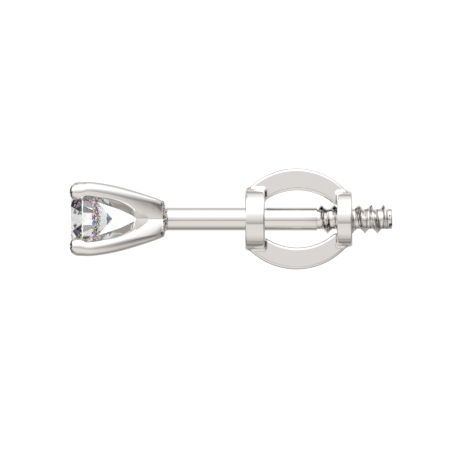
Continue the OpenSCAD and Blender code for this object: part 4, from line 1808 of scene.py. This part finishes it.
@dataclass
class Studio:
    """The pale floor, the soft light round it and the camera straight above the earring."""

    floor_half: float = 0.4
    floor_grey: float = 0.3
    floor_glow: float = 0.9
    view_width: float = 0.019575
    centre: Triple = (6.76, -0.265, 60.0)
    metal_share: float = 0.915
    warm_tint: Triple = (1.035, 1.0, 0.965)
    bands: tuple[LightBand, ...] = BANDS
    flags: tuple[Flag, ...] = FLAGS
    stone_flags: tuple[Flag, ...] = STONE_FLAGS
    stone_light: Triple = (1.08, 1.08, 1.08)
    bounces: int = 24
    glossy_bounces: int = 12

    @staticmethod
    def toward(turn_deg: float, lean_deg: float) -> tuple[float, float, float]:
        """The direction at a turn round the post and a lean towards the threaded end."""
        turn, lean = math.radians(turn_deg), math.radians(lean_deg)
        c, s = math.cos(REST.tilt), math.sin(REST.tilt)
        x, y, z = math.sin(lean), math.cos(lean) * math.sin(turn), math.cos(lean) * math.cos(turn)
        return (c * x + s * z, y, c * z - s * x)

    def stops(self) -> list[tuple[float, Triple]]:
        """Two stops of a ramp for each band, from a turn of -180 to one of 180 degrees."""
        made = []
        for band in self.bands:
            tint = [1 + band.warm * (t - 1) for t in self.warm_tint]
            for degrees, level in ((band.start_deg, band.start_level), (band.end_deg, band.end_level)):
                made.append(((degrees + 180) / 360, tuple(level * t / self.metal_share for t in tint)))
        return made

    def dimmed(self, tree: NodeTree, way: NodeSocket, flags: tuple[Flag, ...]) -> NodeSocket:
        """Adds what the flags together leave of the light.

        Args:
            tree: The world's tree.
            way: The direction of the light.
            flags: The flags.

        Returns:
            The share of the light that is left.
        """
        left: Value = 1.0
        for flag in flags:
            off = dot_node(tree, way, self.toward(flag.turn_deg, flag.lean_deg))
            inputs = {
                "Value": math_node(tree, "ARCCOSINE", off),
                "From Min": math.radians(flag.inner_deg),
                "From Max": math.radians(flag.outer_deg),
                "To Min": flag.level,
            }
            dim = add_node(tree, "ShaderNodeMapRange", inputs, interpolation_type="SMOOTHSTEP")
            left = math_node(tree, "MULTIPLY", left, dim.outputs["Result"])
        return left

    def sky(self) -> None:
        """Makes the world: the bands and flags for the metal and the stone, plain to the camera."""
        world = bpy.data.worlds.new("studio_light")
        bpy.context.scene.world = world
        world.use_nodes = True
        tree = world.node_tree
        tree.nodes.clear()
        way = add_node(tree, "ShaderNodeTexCoord").outputs["Generated"]
        side, front = (dot_node(tree, way, self.toward(turn, 0)) for turn in (90, 0))
        turn = math_node(tree, "ARCTAN2", side, front)
        ramp = add_node(
            tree, "ShaderNodeValToRGB", {"Fac": math_node(tree, "MULTIPLY_ADD", turn, 1 / math.tau, 0.5)}
        )
        fill_ramp(ramp.color_ramp, self.stops())

        def light(colour: NodeSocket | Triple, strength: Value) -> NodeSocket:
            """One light of the world."""
            colour = colour if isinstance(colour, NodeSocket) else (*colour, 1.0)
            return add_node(tree, "ShaderNodeBackground", {"Color": colour, "Strength": strength}).outputs[0]

        for_metal = light(ramp.outputs["Color"], self.dimmed(tree, way, self.flags))
        for_stone = light(self.stone_light, self.dimmed(tree, way, self.stone_flags))
        ray = add_node(tree, "ShaderNodeLightPath").outputs
        lit = add_node(
            tree, "ShaderNodeMixShader", {0: ray["Is Transmission Ray"], 1: for_metal, 2: for_stone}
        ).outputs[0]
        seen = add_node(
            tree, "ShaderNodeMixShader", {0: ray["Is Camera Ray"], 1: lit, 2: light(WHITE, 1.0)}
        ).outputs[0]
        add_node(tree, "ShaderNodeOutputWorld", {"Surface": seen})

    def floor(self) -> None:
        """Makes the floor, which the polished metal doesn't mirror."""
        h = self.floor_half
        corners = np.array([(-h, -h, 0), (h, -h, 0), (h, h, 0), (-h, h, 0)])
        thing = mesh_object("floor", corners, [(0, 1, 2, 3)])
        plain = {
            "Base Color": (*(self.floor_grey,) * 3, 1.0),
            "Roughness": 0.9,
            "Specular IOR Level": 0.0,
            "Emission Color": (*WHITE, 1.0),
            "Emission Strength": self.floor_glow,
        }
        thing.data.materials.append(new_material("pale_floor", plain)[0])
        thing.visible_glossy = thing.visible_transmission = False

    def camera(self) -> None:
        """Places the camera at the photograph's angle, straight above the post."""
        data = bpy.data.cameras.new("camera")
        data.type = "ORTHO"
        data.ortho_scale = self.view_width
        data.clip_start, data.clip_end = 0.001, 2.0
        thing = bpy.data.objects.new("camera", data)
        turn = REST.matrix()
        place = (turn @ Matrix.Translation(self.centre)).to_translation()
        thing.matrix_world = Matrix.Translation(place) @ turn.to_3x3().normalized().to_4x4()
        bpy.context.scene.collection.objects.link(thing)
        bpy.context.scene.camera = thing

    def build(self) -> None:
        """Makes the whole studio."""
        self.sky()
        self.floor()
        self.camera()
        scene = bpy.context.scene
        scene.view_settings.view_transform = "Standard"
        scene.view_settings.look = "None"
        scene.cycles.max_bounces = self.bounces
        scene.cycles.transmission_bounces = self.bounces
        scene.cycles.glossy_bounces = self.glossy_bounces


def report(thing: Object) -> None:
    """Logs how many triangles a piece has, its size and whether it is closed."""
    bm = bmesh.new()
    bm.from_mesh(thing.data)
    loose = sum(1 for e in bm.edges if len(e.link_faces) != 2)
    volume = bm.calc_volume(signed=True) / MM**3
    triangles = sum(len(f.verts) - 2 for f in bm.faces)
    bm.free()
    size = [round(d / MM, 3) for d in thing.dimensions]
    log.info("%s: %d triangles, %s mm, %.2f mm3, %d open edges", thing.name, triangles, size, volume, loose)


def main() -> None:
    """Builds the studio and the earring's pieces in order."""
    logging.basicConfig(level=logging.INFO, format="%(name)s: %(message)s")
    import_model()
    Studio().build()
    marks = polish_marks_group()
    metal = WhiteGold("white_gold", tool_marks_and_painted_shade=POST_MARKS_AND_PAINTED_SHADE, painted_flank_reflection=PaintedFlankReflection()).build(marks)
    nut_metal = WhiteGold("nut_white_gold", tool_marks_and_painted_shade=NUT_MARKS_AND_PAINTED_SHADE).build(marks)
    report(Brilliant().build(marks))
    report(join_metal(ClawSetting().build(metal), ScrewThread().build(metal)))
    report(ScrewNut().build(nut_metal))


if __name__ == "__main__":
    main()
